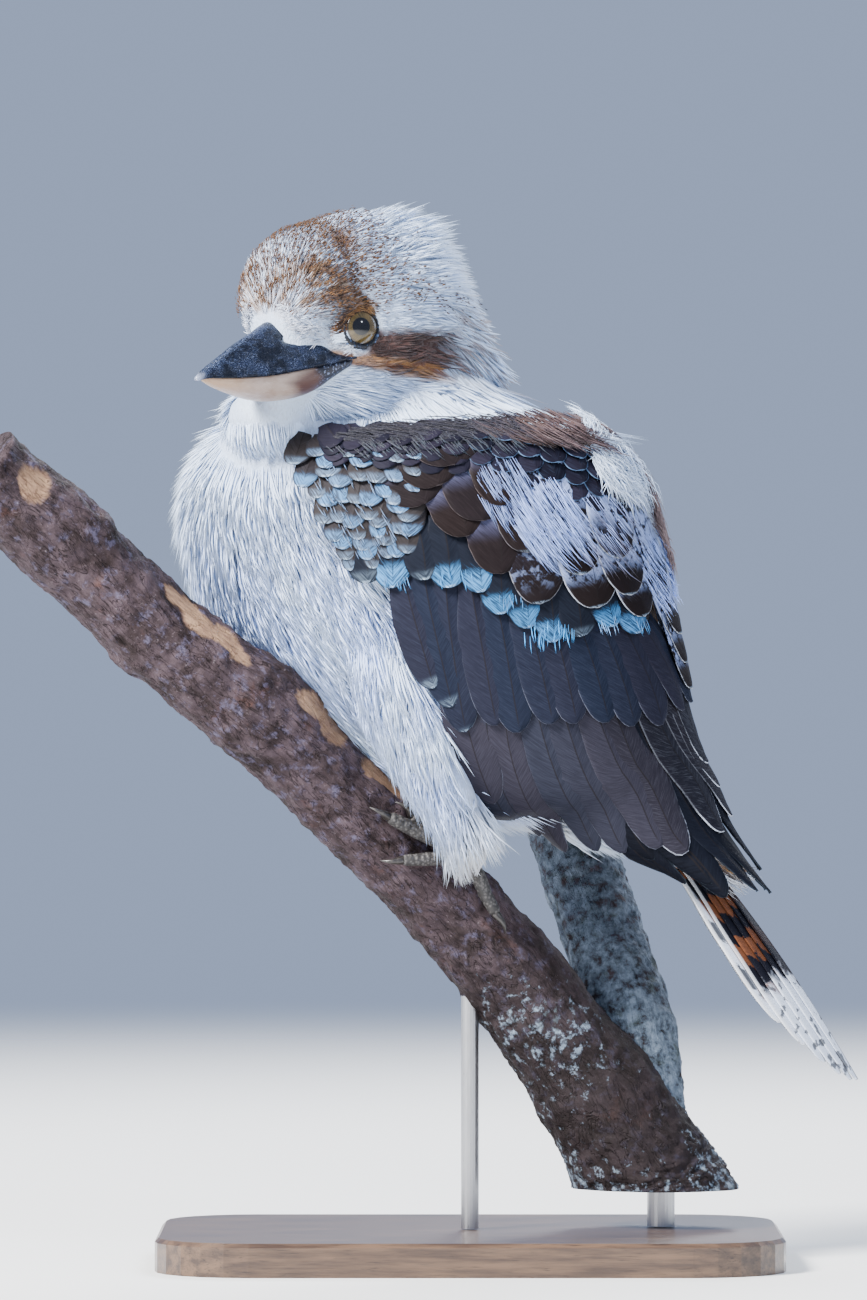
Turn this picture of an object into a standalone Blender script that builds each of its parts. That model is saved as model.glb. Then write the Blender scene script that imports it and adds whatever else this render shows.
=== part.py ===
"""A laughing kookaburra resting on a forked branch, held on a plain museum stand.

Sizes are in millimetres, and MM turns them to metres when a mesh is made. The origin is the middle of
the stand's underside, +Z is up, the bird's body faces -X and its left side faces -Y. The head is turned
towards -Y. A side-view point is (x, z).
"""

import math

import bmesh
import bpy
import numpy as np
from mathutils import Matrix, Vector

MM = 0.001
GAP = 0.35          # left between the parts of the body that a thin cut parts
CLEARANCE = 0.8      # left where one piece is cut back from another
SURFACE_SLACK = 1.2  # between the body and the wings that lie on it

# The body's plumage, as rings from the neck to the root of the tail:
# back x, back z, belly x, belly z, half width.
BODY = np.array([
    (0, 336, -75, 310, 30),
    (13, 316, -92, 301, 38),
    (27, 305, -103, 285, 45),
    (43, 296, -105, 264, 51),
    (56, 282, -99, 238, 55),
    (64, 260, -85, 212, 57),
    (70, 235, -61, 190, 55),
    (76, 210, -34, 172, 51),
    (81, 186, -7, 161, 45),
    (85, 168, 22, 156, 36),
    (89, 156, 50, 153, 26),
    (96, 142, 79, 143, 13),
], float)
BODY_STATIONS = 17
BODY_SIDES = 20

# The folded wings lie on the body as far as the rump and on these rings past it.
WING_RINGS = np.array([*BODY[:9], (87, 172, 13, 161, 40), (93, 157, 34, 149, 36), (100, 144, 61, 143, 33),
                       (110, 129, 88, 130, 30), (119, 112, 112, 114, 28)], float)

# The head, as rings from the bill's root to the nape, in its own frame:
# forward, crown height, throat height, half width. Heights are from the eye.
HEAD_RINGS = np.array([
    (25.5, 9, -26, 12.5),
    (21.5, 22.5, -28.5, 17.5),
    (13, 31, -31, 21.5),
    (2, 37, -33, 24.5),
    (-10, 41, -35, 29),
    (-24, 43.5, -37, 33),
    (-38, 43, -38, 35),
    (-52, 36, -38, 34),
    (-64, 22, -37, 31),
    (-73, 4, -33, 22),
], float)
HEAD_AT = np.array((-54.7, -29.0, 336.2))
HEAD_TURN = math.radians(47)
WIDEST_AT = -4.0       # the height at which the head is widest
NAPE_SAG = 11.0        # the nape is widest this much lower
BROW_FULLNESS = 0.42   # how boxy the forehead's sections are
NAPE_SLOPE = 0.40      # how steeply the nape's sections narrow upwards
BROW_FROM, BROW_TO = 0, 14
NAPE_FROM, NAPE_TO = -26, -50
HEAD_SIDES = 20

# The bill, as rings along the same forward axis: forward, top, bottom, half width.
BILL_UPPER = np.array([
    (3, -9.6, -12.6, 22.6),
    (8, -6, -13.4, 20.4),
    (13, 1.2, -14.4, 17.6),
    (24, 0.8, -16.6, 13.6),
    (33, -3.6, -18.2, 11),
    (42, -8.0, -19.2, 8.2),
    (51, -13.2, -19.6, 5.4),
    (57.5, -17.0, -19.8, 3),
    (61.4, -19.8, -20.8, 0.7),
], float)
BILL_LOWER = np.array([
    (4, -13.2, -18, 21.4),
    (8, -13.9, -22, 19.4),
    (13, -14.9, -26, 16.6),
    (24, -17.4, -27.8, 12.8),
    (33, -19.0, -27.6, 10.2),
    (42, -19.9, -26.0, 7.4),
    (51, -20.3, -23.8, 4.4),
    (56.5, -20.4, -22.0, 2),
    (58.5, -20.5, -21.2, 0.6),
], float)
BILL_SIDES = 14
RIDGE_NARROW = 0.40   # how much narrower the upper half is at its ridge
RIDGE_ROUND = 0.9     # the powers that round the ridge and the keel
KEEL_ROUND = 0.8
NOSTRIL = [(20.5, 9.8, 0.5), (23.0, 9.2, 1.1), (26.0, 8.2, 0.6)]  # forward, sideways, radius
NOSTRIL_UP = -6.3
NOSTRIL_SIDES = 6

EYE_RADIUS = 8.0
EYE_AT = (-1.2, 17.7, -1.6)   # forward, sideways, up
EYE_TURN = math.radians(20)   # the eye looks this far forward of straight sideways
LID_RADIUS = 7.1
LID_THICK = 1.15
LID_AT = 5.2            # from the eyeball's centre to the lids' plane

# The branch under the feet: x, y, z, radius, from its upper end to the foot of the trunk.
BRANCH = np.array([
    (-173, -72, 285, 16.5),
    (-142, -58, 256, 16.5),
    (-112, -48, 228, 16.8),
    (-83, -40, 204, 17.6),
    (-54, -26, 177, 17.2),
    (-25, -14, 148, 17),
    (0, -5, 121, 17.6),
    (22, 1, 94, 18.8),
    (43, 5, 64, 21),
    (61, 8, 37, 23.5),
    (69, 9, 24, 24.5),
], float)
BRANCH_STATIONS = 28
BRANCH_SIDES = 12
FORK = np.array([(62, 14, 52, 16.5), (58, 26, 84, 16.5), (50, 42, 112, 15.5), (42, 58, 137, 15),
                 (35, 70, 160, 14.5)], float)

BASE_SIZE = (224, 156, 12)
BASE_CORNER = 34
BASE_EDGE = 1.5
ROD_RADIUS = 3.2
PIN_RADIUS = 5.0
PIN_SHOWS = 14    # the height of the pin between the base and the cut trunk


def material(name, colour, roughness, metallic=0.0):
    """A Principled material of one colour."""
    made = bpy.data.materials.new(name)
    made.use_nodes = True
    shader = made.node_tree.nodes["Principled BSDF"]
    shader.inputs["Base Color"].default_value = (*colour, 1)
    shader.inputs["Roughness"].default_value = roughness
    shader.inputs["Metallic"].default_value = metallic
    return made


def smooth_value(rows, t):
    """The value at t on a smooth curve through the rows, where t counts rows."""
    last = len(rows) - 1
    i = min(max(int(t), 0), last - 1)
    f = t - i
    before = rows[i - 1] if i > 0 else 2 * rows[0] - rows[1]
    after = rows[i + 2] if i + 2 <= last else 2 * rows[last] - rows[last - 1]
    a, b = rows[i], rows[i + 1]
    return 0.5 * (
        2 * a
        + (b - before) * f
        + (2 * before - 5 * a + 4 * b - after) * f * f
        + (3 * a - before - 3 * b + after) * f**3
    )


def unit(v):
    return np.asarray(v, float) / np.linalg.norm(v)


def new_object(name, points, faces, finish=None, collection=None):
    """A closed mesh object from points in millimetres, in triangles, with its faces turned outwards."""
    mesh = bpy.data.meshes.new(name)
    mesh.from_pydata([tuple(np.asarray(p, float) * MM) for p in points], [], faces)
    shaped = bmesh.new()
    shaped.from_mesh(mesh)
    bmesh.ops.remove_doubles(shaped, verts=shaped.verts, dist=1e-6)
    bmesh.ops.recalc_face_normals(shaped, faces=shaped.faces)
    bmesh.ops.triangulate(shaped, faces=shaped.faces)
    shaped.to_mesh(mesh)
    shaped.free()
    if finish:
        mesh.materials.append(finish)
    made = bpy.data.objects.new(name, mesh)
    (collection or bpy.context.scene.collection).objects.link(made)
    return made


def loft(rings):
    """A tube through rings of points, each end closed by a fan to a point at its middle."""
    sides = len(rings[0])
    points = [p for ring in rings for p in ring]
    faces = []
    for i in range(len(rings) - 1):
        for j in range(sides):
            k = (j + 1) % sides
            faces.append((i * sides + j, i * sides + k, (i + 1) * sides + k, (i + 1) * sides + j))
    for start, ring in ((0, rings[0]), ((len(rings) - 1) * sides, rings[-1])):
        points.append(np.mean(ring, axis=0))
        faces += [(start + j, start + (j + 1) % sides, len(points) - 1) for j in range(sides)]
    return points, faces


def apply_modifiers(obj):
    graph = bpy.context.evaluated_depsgraph_get()
    mesh = bpy.data.meshes.new_from_object(obj.evaluated_get(graph))
    obj.modifiers.clear()
    obj.data = mesh


def combine(obj, operation, other):
    """Joins or cuts obj by another object, or by every object of a collection."""
    step = obj.modifiers.new("combine", "BOOLEAN")
    step.operation = operation
    step.solver = "MANIFOLD"
    if isinstance(other, bpy.types.Collection):
        step.operand_type = "COLLECTION"
        step.collection = other
    else:
        step.object = other
    apply_modifiers(obj)


SPLIT_METHODS = (
    ("BEAUTY", "BEAUTY"),
    ("BEAUTY", "EAR_CLIP"),
    ("SHORT_EDGE", "EAR_CLIP"),
    ("FIXED", "BEAUTY"),
)


def triangles_of(obj):
    """The object's mesh in triangles, split so that as few edges as can be are shared by more than two."""
    best = None
    for quads, others in SPLIT_METHODS:
        shaped = bmesh.new()
        shaped.from_mesh(obj.data)
        bmesh.ops.triangulate(shaped, faces=shaped.faces, quad_method=quads, ngon_method=others)
        shared = sum(len(e.link_faces) > 2 for e in shaped.edges)
        if best is None or shared < best[0]:
            if best:
                best[1].free()
            best = (shared, shaped)
        else:
            shaped.free()
        if not best[0]:
            break
    return best[1]


def keep_largest(obj):
    """Drops every closed surface of obj but the one with the most room in it."""
    shaped = triangles_of(obj)
    unseen = set(shaped.faces)
    groups = []
    while unseen:
        group, waiting = [], [unseen.pop()]
        while waiting:
            face = waiting.pop()
            group.append(face)
            for edge in face.edges:
                for other in edge.link_faces if len(edge.link_faces) == 2 else ():
                    if other in unseen:
                        unseen.discard(other)
                        waiting.append(other)
        corners = np.array([v.co for face in group for v in face.verts])
        groups.append((float(np.prod(np.ptp(corners, axis=0) + 1e-6)), group))
    groups.sort(key=lambda sized: sized[0])
    for _, group in groups[:-1]:
        bmesh.ops.delete(shaped, geom=group, context="FACES_ONLY")
    loose = [e for e in shaped.edges if not e.link_faces]
    bmesh.ops.delete(shaped, geom=loose, context="EDGES")
    bmesh.ops.delete(shaped, geom=[v for v in shaped.verts if not v.link_faces], context="VERTS")
    shaped.to_mesh(obj.data)
    shaped.free()


def fuse(obj, pieces):
    """One union of obj and many closed pieces, each (points, faces)."""
    group = bpy.data.collections.new("pieces")
    bpy.context.scene.collection.children.link(group)
    for number, (points, faces) in enumerate(pieces):
        new_object(f"piece_{number}", points, faces, collection=group)
    combine(obj, "UNION", group)
    for piece in list(group.objects):
        bpy.data.objects.remove(piece)
    bpy.data.collections.remove(group)
    keep_largest(obj)


SHARPEST = 1.6      # the most that a sharp corner moves, in widths of the gap
TRIM_REACH = 600.0  # larger than the whole model


def grown_copy(obj, by):
    """A copy of obj with its surface moved outwards."""
    copy = bpy.data.objects.new("grown", obj.data.copy())
    bpy.context.scene.collection.objects.link(copy)
    shaped = bmesh.new()
    shaped.from_mesh(copy.data)
    shaped.normal_update()
    moved = [v.co + v.normal * (by * MM * min(v.calc_shell_factor(), SHARPEST)) for v in shaped.verts]
    for vertex, place in zip(shaped.verts, moved):
        vertex.co = place
    shaped.to_mesh(copy.data)
    shaped.free()
    return copy


def clear_of(obj, others, gap=CLEARANCE):
    """Cuts obj back so that it stands the gap clear of the others."""
    for other in others:
        cutter = grown_copy(other, gap)
        combine(obj, "DIFFERENCE", cutter)
        bpy.data.objects.remove(cutter)
    keep_largest(obj)


SHIFTS = ((0, 0, 0), (1, 0, 0), (-1, 0, 0), (0, 1, 0), (0, -1, 0), (0, 0, 1), (0, 0, -1))


def clear_of_feathers(obj, others, gap=CLEARANCE):
    """As clear_of, for others with many thin vanes or toes: they cut from their place and from beside it."""
    for other in others:
        for shift in SHIFTS:
            cutter = bpy.data.objects.new("shifted", other.data.copy())
            bpy.context.scene.collection.objects.link(cutter)
            cutter.data.transform(Matrix.Translation(Vector(shift) * gap * MM))
            combine(obj, "DIFFERENCE", cutter)
            bpy.data.objects.remove(cutter)
    keep_largest(obj)


def trim(obj, point, outward):
    """Cuts away all of obj that lies beyond a plane."""
    first, second = across(outward)
    corners = [
        np.asarray(point, float) + TRIM_REACH * (first * i + second * j + unit(outward) * k)
        for k in (0, 1) for i, j in ((-1, -1), (1, -1), (1, 1), (-1, 1))
    ]
    faces = [(0, 1, 2, 3), (4, 5, 6, 7), (0, 1, 5, 4), (1, 2, 6, 5), (2, 3, 7, 6), (3, 0, 4, 7)]
    block = new_object("block", corners, faces)
    combine(obj, "DIFFERENCE", block)
    bpy.data.objects.remove(block)
    keep_largest(obj)


def trimmed_copy(obj, name, planes, finish):
    """A copy of obj that keeps only what lies behind each plane, (point, outward direction)."""
    made = bpy.data.objects.new(name, obj.data.copy())
    bpy.context.scene.collection.objects.link(made)
    made.data.materials.clear()
    made.data.materials.append(finish)
    for point, outward in planes:
        trim(made, point, outward)
    return made


def smooth_shading(obj, angle=35):
    obj.data.shade_smooth()
    obj.data.set_sharp_from_angle(angle=math.radians(angle))


# The body and the carrier that the folded wings lie on


def ring_point(table, t, angle, side=1, out=0.0):
    """A point on a body ring: angle 0 is the back and 180 degrees the belly. Side 1 is the left."""
    bx, bz, vx, vz, w = smooth_value(table, t)
    hx, hz = (bx - vx) / 2, (bz - vz) / 2
    c, s = math.cos(angle), math.sin(angle)
    place = np.array(((bx + vx) / 2 + hx * c, -side * w * s, (bz + vz) / 2 + hz * c))
    return place if not out else place + out * ring_normal(table, t, angle, side)


def ring_normal(table, t, angle, side=1):
    """The outward direction of the ring surface."""
    step = 0.02
    along = ring_point(table, t + step, angle, side) - ring_point(table, t - step, angle, side)
    around = ring_point(table, t, angle + step, side) - ring_point(table, t, angle - step, side)
    return side * unit(np.cross(around, along))


def body_rings():
    last = len(BODY) - 1
    rings = []
    for i in range(BODY_STATIONS):
        t = last * i / (BODY_STATIONS - 1)
        rings.append([ring_point(BODY, t, 2 * math.pi * j / BODY_SIDES) for j in range(BODY_SIDES)])
    return rings


def head_point(forward, side, up):
    """A point of the head's own frame, placed on the bird."""
    c, s = math.cos(HEAD_TURN), math.sin(HEAD_TURN)
    return HEAD_AT + np.array((-forward * c + side * s, -forward * s - side * c, up))


def ramp(low, high, value):
    """0 at low and 1 at high."""
    return min(max((value - low) / (high - low), 0.0), 1.0)


def head_section(forward, top, bottom, w, angle):
    """A point of one of the head's sections: angle 0 is the crown, 90 degrees its left side."""
    front, rear = ramp(BROW_FROM, BROW_TO, forward), ramp(NAPE_FROM, NAPE_TO, forward)
    up, side = math.cos(angle), math.sin(angle)
    widest = WIDEST_AT - NAPE_SAG * rear
    reach = top - widest if up > 0 else widest - bottom
    fullness = 1 - BROW_FULLNESS * front + NAPE_SLOPE * rear if up > 0 else 1.0
    return head_point(forward, w * math.copysign(abs(side) ** fullness, side), widest + reach * up)


def head_rings():
    return [
        [head_section(*row, 2 * math.pi * j / HEAD_SIDES) for j in range(HEAD_SIDES)]
        for row in HEAD_RINGS
    ]


def bill_rings(table, upper):
    """The upper half is a rounded ridge over a flat mouth line, and the lower one a round keel under it."""
    rings = []
    for forward, top, bottom, w in table:
        ring = []
        for j in range(BILL_SIDES):
            a = 2 * math.pi * j / BILL_SIDES
            side, up = math.sin(a), math.cos(a)
            if upper:
                height = bottom + (top - bottom) * max(up, 0) ** RIDGE_ROUND
                side *= 1 - RIDGE_NARROW * max(up, 0)
            else:
                height = top - (top - bottom) * max(-up, 0) ** KEEL_ROUND
            ring.append(head_point(forward, w * side, height))
        rings.append(ring)
    return rings


def eye_centre(side):
    forward, out, up = EYE_AT
    return head_point(forward, side * out, up)


def eye_axis(side):
    return unit(head_point(math.sin(EYE_TURN), side * math.cos(EYE_TURN), 0) - HEAD_AT)


def ball(centre, radius, rings=8, sides=14):
    points, faces = loft([
        [
            np.asarray(centre) + radius * np.array((
                math.sin(a) * math.cos(2 * math.pi * j / sides),
                math.sin(a) * math.sin(2 * math.pi * j / sides),
                math.cos(a),
            ))
            for j in range(sides)
        ]
        for a in (math.pi * (i + 0.5) / (rings + 0.5) for i in range(rings))
    ])
    points[-2] = np.asarray(centre) + np.array((0, 0, radius))
    points[-1] = np.asarray(centre) - np.array((0, 0, radius))
    return points, faces


def across(direction):
    """Two directions square to this one."""
    direction = unit(direction)
    first = unit(np.cross(direction, (0, 0, 1) if abs(direction[2]) < 0.9 else (1, 0, 0)))
    return first, np.cross(direction, first)


def ring_about(centre, direction, major, minor, sides=16, round_sides=5):
    """A closed ring of round section about a direction."""
    u, v = across(direction)
    n = unit(direction)
    points, faces = [], []
    for i in range(sides):
        a = 2 * math.pi * i / sides
        out = math.cos(a) * u + math.sin(a) * v
        for j in range(round_sides):
            b = 2 * math.pi * j / round_sides
            points.append(np.asarray(centre) + out * (major + minor * math.cos(b)) + n * minor * math.sin(b))
    for i in range(sides):
        for j in range(round_sides):
            k, m = (i + 1) % sides, (j + 1) % round_sides
            faces.append((i * round_sides + j, k * round_sides + j, k * round_sides + m, i * round_sides + m))
    return points, faces


def tube(path, radii, sides=10):
    """A round tube along a path, its rings turned square to the path."""
    path = np.asarray(path, float)
    rings = []
    reference = None
    for i, (p, r) in enumerate(zip(path, radii)):
        forward = unit(path[min(i + 1, len(path) - 1)] - path[max(i - 1, 0)])
        if reference is None:
            reference = across(forward)[0]
        reference = unit(reference - forward * np.dot(reference, forward))
        other = np.cross(forward, reference)
        turns = [2 * math.pi * j / sides for j in range(sides)]
        rings.append([p + r * (math.cos(a) * reference + math.sin(a) * other) for a in turns])
    return loft(rings)


# The head, neck, torso and root of the tail, made whole and parted by thin cuts

CHIN, NAPE = (-86, 304), (24, 311)
COLLAR_FRONT, COLLAR_BACK = (-102, 289), (34, 297)
RUMP_BACK, RUMP_BELLY = (90, 158), (34, 146)


def plane_through(first, second, shift):
    """A plane square to the side view through two side-view points, moved along its own direction."""
    (x0, z0), (x1, z1) = first, second
    normal = unit((z0 - z1, 0, x1 - x0))
    return np.array((x0, 0, z0)) + normal * shift, normal


HALF_GAP = GAP / 2


def kept_above(first, second):
    """The plane that trims a part to what lies above the cut through two points."""
    return [(plane_through(first, second, HALF_GAP)[0], -plane_through(first, second, 0)[1])]


def kept_below(first, second):
    """The plane that trims a part to what lies below the cut through two points."""
    return [(plane_through(first, second, -HALF_GAP)[0], plane_through(first, second, 0)[1])]


UNDER_HEAD = kept_above(CHIN, NAPE)
OVER_TORSO = kept_below(COLLAR_FRONT, COLLAR_BACK)
OVER_NECK = kept_below(CHIN, NAPE)
UNDER_NECK = kept_above(COLLAR_FRONT, COLLAR_BACK)
UNDER_TORSO = kept_above(RUMP_BELLY, RUMP_BACK)
OVER_TAIL = kept_below(RUMP_BELLY, RUMP_BACK)


def make_body(plumage, pale_plumage, tail_plumage):
    whole = new_object("whole", *loft(body_rings()))
    fuse(whole, [loft(head_rings())])
    head = trimmed_copy(whole, "head", UNDER_HEAD, plumage)
    neck = trimmed_copy(whole, "neck", OVER_NECK + UNDER_NECK, pale_plumage)
    torso = trimmed_copy(whole, "torso", OVER_TORSO + UNDER_TORSO, pale_plumage)
    tail = trimmed_copy(whole, "tail", OVER_TAIL, tail_plumage)
    return whole, head, neck, torso, tail


def retrim(obj, planes):
    """Cuts a part back to its planes after its locks or vanes have been added."""
    for point, outward in planes:
        trim(obj, point, outward)


def make_face(head, bill_black, bill_horn, eye_brown):
    upper = new_object("bill_upper", *loft(bill_rings(BILL_UPPER, True)), bill_black)
    lower = new_object("bill_lower", *loft(bill_rings(BILL_LOWER, False)), bill_horn)
    for side in (1, -1):
        path = [head_point(f, side * aside, NOSTRIL_UP) for f, aside, _ in NOSTRIL]
        slit = new_object("slit", *tube(path, [r for _, _, r in NOSTRIL], NOSTRIL_SIDES))
        combine(upper, "DIFFERENCE", slit)
        bpy.data.objects.remove(slit)
    fuse(head, head_locks() + [
        ring_about(eye_centre(s) + eye_axis(s) * LID_AT, eye_axis(s), LID_RADIUS, LID_THICK) for s in (1, -1)
    ])
    eyes = []
    for name, s in (("eye_left", 1), ("eye_right", -1)):
        eyes.append(new_object(name, *ball(eye_centre(s), EYE_RADIUS), eye_brown))
    clear_of(head, [upper, lower])
    clear_of(head, eyes, GAP)
    for obj in (upper, lower, *eyes):
        smooth_shading(obj)


# The tail's feathers, folded to a narrow arch: the middle pair on top, each next one lower and shorter

TAIL_ROOT = (82, 149)
TAIL_BEND = (111, 115.5)
TAIL_TIP = (140, 66)
TAIL_PAIRS = 6
TAIL_THICK = 0.8
TAIL_ARCH = 7.5     # how far the outermost edges lie under the middle
TAIL_STEP = 0.95    # and how far each pair lies under the one before
VANE_HALF_WIDTH = 5.6
UNDER_COVERTS, OVER_COVERTS = 7, 5


def tail_vane(pair, side):
    """One tail feather, its edges lying along the arch."""
    root, bend, tip = (np.array((x, 0, z), float) for x, z in (TAIL_ROOT, TAIL_BEND, TAIL_TIP))
    outer, inner = [], []
    shorter = 1 - 0.012 * pair * pair
    for share, wide in ((0, 0.5), (0.35, 0.85), (0.7, 1.0), (0.95, 0.8), (1, 0.25)):
        along = share * shorter
        place = (1 - along) ** 2 * root + 2 * along * (1 - along) * bend + along**2 * tip
        heading = unit(2 * (1 - along) * (bend - root) + 2 * along * (tip - bend))
        back = np.array((-heading[2], 0, heading[0]))
        middle = 2.6 + (2.4 + 1.5 * along) * pair
        for edge in (-1, 1):
            y = middle + edge * wide * VANE_HALF_WIDTH
            drop = TAIL_ARCH * (abs(y) / 24) ** 1.7 + TAIL_STEP * pair
            spot = place - back * drop + np.array((0, -side * y, 0))
            outer.append(spot)
            inner.append(spot - back * TAIL_THICK)
    return plate(outer, inner, 5, 2)


def make_tail_feathers(tail):
    pieces = [tail_vane(pair, side) for pair in range(TAIL_PAIRS) for side in (1, -1)]
    for i in range(UNDER_COVERTS):
        aside = i - UNDER_COVERTS // 2
        root = np.array((66 + 2 * abs(aside), aside * 5.0, 148))
        length = 28 - 3 * abs(aside)
        pieces.append(lock(root, (0.86, 0.02 * aside, -0.5), (0.5, 0, 0.86), length, 6.0, 1.8))
    for i in range(OVER_COVERTS):
        aside = i - OVER_COVERTS // 2
        root = np.array((95 - abs(aside), aside * 6.0, 148))
        pieces.append(lock(root, (0.35, 0.02 * aside, -0.94), (0.94, 0, 0.35), 28, 6.0, 2.0))
    fuse(tail, pieces)


# Locks: flat tapered tufts for the shaggy crown and nape, the loose breast and the fluff on the legs


def lock(root, direction, face, length, width, thick):
    """A flat tapered tuft whose broad side looks along face. It starts a little inside its root's surface."""
    direction = unit(direction)
    sideways = unit(np.cross(direction, face))
    face = np.cross(sideways, direction)
    points = []
    for share, wide, deep in ((-0.25, 0.65, 0.8), (0.45, 1.0, 1.0)):
        middle = np.asarray(root) + direction * length * share
        points += [
            middle + sideways * width / 2 * wide,
            middle + face * thick / 2 * deep,
            middle - sideways * width / 2 * wide,
            middle - face * thick / 2 * deep,
        ]
    points.append(np.asarray(root) + direction * length)
    faces = [(3, 2, 1, 0)]
    for j in range(4):
        k = (j + 1) % 4
        faces += [(j, k, 4 + k, 4 + j), (4 + j, 4 + k, 8)]
    return points, faces


def head_surface(forward, angle, out=0.0):
    """A point on the head: angle 0 is the crown, 90 degrees its left side."""
    order = HEAD_RINGS[::-1]
    top, bottom, w = (np.interp(forward, order[:, 0], order[:, k]) for k in (1, 2, 3))
    return head_section(forward, top + out, bottom - out, w + out, angle)


def head_lock(forward, angle, length, width, rise):
    """A lock on the head that points back and rises off it by a share of its length."""
    here = head_surface(forward, angle)
    out = unit(head_surface(forward, angle, 3) - here)
    back = unit(head_surface(forward - 4, angle) - here)
    return lock(here - out * 0.6, back + out * rise, out, length, width, width * 0.3)


def head_locks():
    made = []
    for forward, count, low, high, length, rise in (
        (-14, 4, -50, 50, 17, 0.26), (-33, 5, -62, 62, 18, 0.46), (-50, 6, -84, 84, 17, 0.42),
        (-62, 6, -106, 106, 17, 0.38),
    ):
        for i in range(count):
            angle = math.radians(low + (high - low) * i / (count - 1))
            wobble = math.sin(7 * i + forward)
            made.append(head_lock(forward + 2.5 * wobble, angle, length * (1 + 0.2 * wobble), 10.5, rise))
    return made


def body_lock(t, degrees, length, width, rise, side=1):
    """A lock on the body's plumage that hangs towards the tail."""
    angle = math.radians(degrees)
    here, out = ring_point(BODY, t, angle, side), ring_normal(BODY, t, angle, side)
    down = unit(ring_point(BODY, t + 0.3, angle, side) - here)
    return lock(here - out * 0.8, down + out * rise, out, length, width, width * 0.28)


def breast_locks():
    made = []
    for t, degrees, length in (
        (1.9, 166, 24), (2.6, 148, 22), (3.2, 168, 24), (3.8, 138, 22), (4.7, 124, 22),
    ):
        made += [body_lock(t, degrees, length, 13.0, 0.12, side) for side in (1, -1)]
    return made


# The folded wings. Their feathers are laid out in the side view, row by row, from the lowest to the
# uppermost: how many, half width, tip lift, the share of the length from which a vane is thin, the roots
# from front to rear, the tips from front to rear.

WING_UPPER_ANGLE = math.radians(20)
CORE_EDGE = [(-50, 295), (-60, 278), (-53, 261), (-44, 250), (-28, 237), (-9, 218), (3, 196), (15, 178),
             (38, 160), (60, 156), (80, 156)]
CORE_REAR = 9.3
CORE_FRONT = 1.6
FEATHER_THICK = 0.75
UPPERMOST = math.radians(14)  # no feather's middle lies nearer the middle of the back
WING_ROWS = {
    "primaries": (5, 6.0, 1.2, 0.4, [(40, 190), (61, 202)], [(70, 141), (88, 133), (104, 127), (110, 133)]),
    "secondaries": (
        6, 9.2, 1.5, 0.75, [(-7, 224), (32, 231), (61, 224)],
        [(10, 169), (24, 158), (39, 150), (61, 152), (72, 149), (83, 150), (95, 153), (93, 165), (91, 180)]),
    "greater_coverts": (
        6, 10.4, 1.7, 0.95, [(-25, 253), (32, 242), (61, 231)],
        [(-12, 208), (0, 190), (11, 196), (23, 193), (35, 196), (47, 194), (64, 193), (80, 203)]),
    "median_coverts": (
        5, 11.4, 1.6, 0.95, [(-38, 268), (4, 267), (47, 249)],
        [(-33, 243), (-18, 245), (-5, 247), (14, 238), (25, 224), (46, 229), (55, 227)]),
    "lesser_coverts_low": (3, 9.6, 1.5, 0.95, [(-52, 284), (-14, 279)], [(-47, 257), (-28, 255), (-8, 258)]),
    "lesser_coverts_top": (
        2, 11.0, 1.5, 0.95, [(-54, 299), (-22, 295)], [(-56, 276), (-38, 272), (-18, 275)]),
    "lower_scapulars": (
        5, 11.6, 2.4, 0.95, [(-29, 292), (-7, 289), (22, 281), (47, 274), (65, 253)],
        [(-16, 271), (0, 253), (18, 238), (40, 235), (47, 233), (61, 238), (79, 217), (84, 209)]),
    "upper_scapulars": (
        3, 12.4, 2.9, 0.95, [(-14, 300), (20, 297), (44, 291)], [(0, 278), (32, 260), (61, 238)]),
    "mantle_edge": (
        3, 12.0, 2.6, 0.95, [(-48, 303), (0, 302), (34, 294)], [(-45, 291), (-4, 285), (38, 276)]),
}


def chart_table():
    """The wings' carrier rings at close steps of t, for finding a side-view point on it."""
    steps = np.linspace(0.2, len(WING_RINGS) - 1, 400)
    return steps, np.array([smooth_value(WING_RINGS, t) for t in steps])


CHART_STEPS, CHART_ROWS = chart_table()


def place_on_wing(x, z):
    """The ring number and angle on the wings' carrier that a side-view point falls on."""
    bx, bz, vx, vz, _ = CHART_ROWS.T
    values = ((vx - bx) * (z - bz) - (vz - bz) * (x - bx)) / np.hypot(vx - bx, vz - bz)
    crossings = np.nonzero(values[:-1] * values[1:] <= 0)[0]
    i = int(crossings[0]) if len(crossings) else int(np.argmin(np.abs(values[:-1])))
    share = float(np.clip(values[i] / (values[i] - values[i + 1]), 0, 1))
    t = CHART_STEPS[i] + (CHART_STEPS[i + 1] - CHART_STEPS[i]) * share
    bx, bz, vx, vz, _ = smooth_value(WING_RINGS, t)
    hx, hz = (bx - vx) / 2, (bz - vz) / 2
    share = ((x - (bx + vx) / 2) * hx + (z - (bz + vz) / 2) * hz) / (hx * hx + hz * hz)
    return np.array((t, math.acos(max(-0.999, min(0.999, share)))))


CORE_CHART = np.array(sorted(tuple(place_on_wing(*p)) for p in CORE_EDGE))


def core_share(t, angle):
    """How far along and how far down the wing's core a chart place lies, 0 to 1 each."""
    low = float(np.interp(t, CORE_CHART[:, 0], CORE_CHART[:, 1]))
    down = min(max((angle - WING_UPPER_ANGLE) / (low - WING_UPPER_ANGLE), 0), 1)
    along = min(max((t - CORE_FRONT) / (CORE_REAR - CORE_FRONT), 0), 1)
    return along, down


THINNEST_CORE = 1.0
CORE_AT_SHOULDER = 6.4
CORE_TAPER = 3.6


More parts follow.
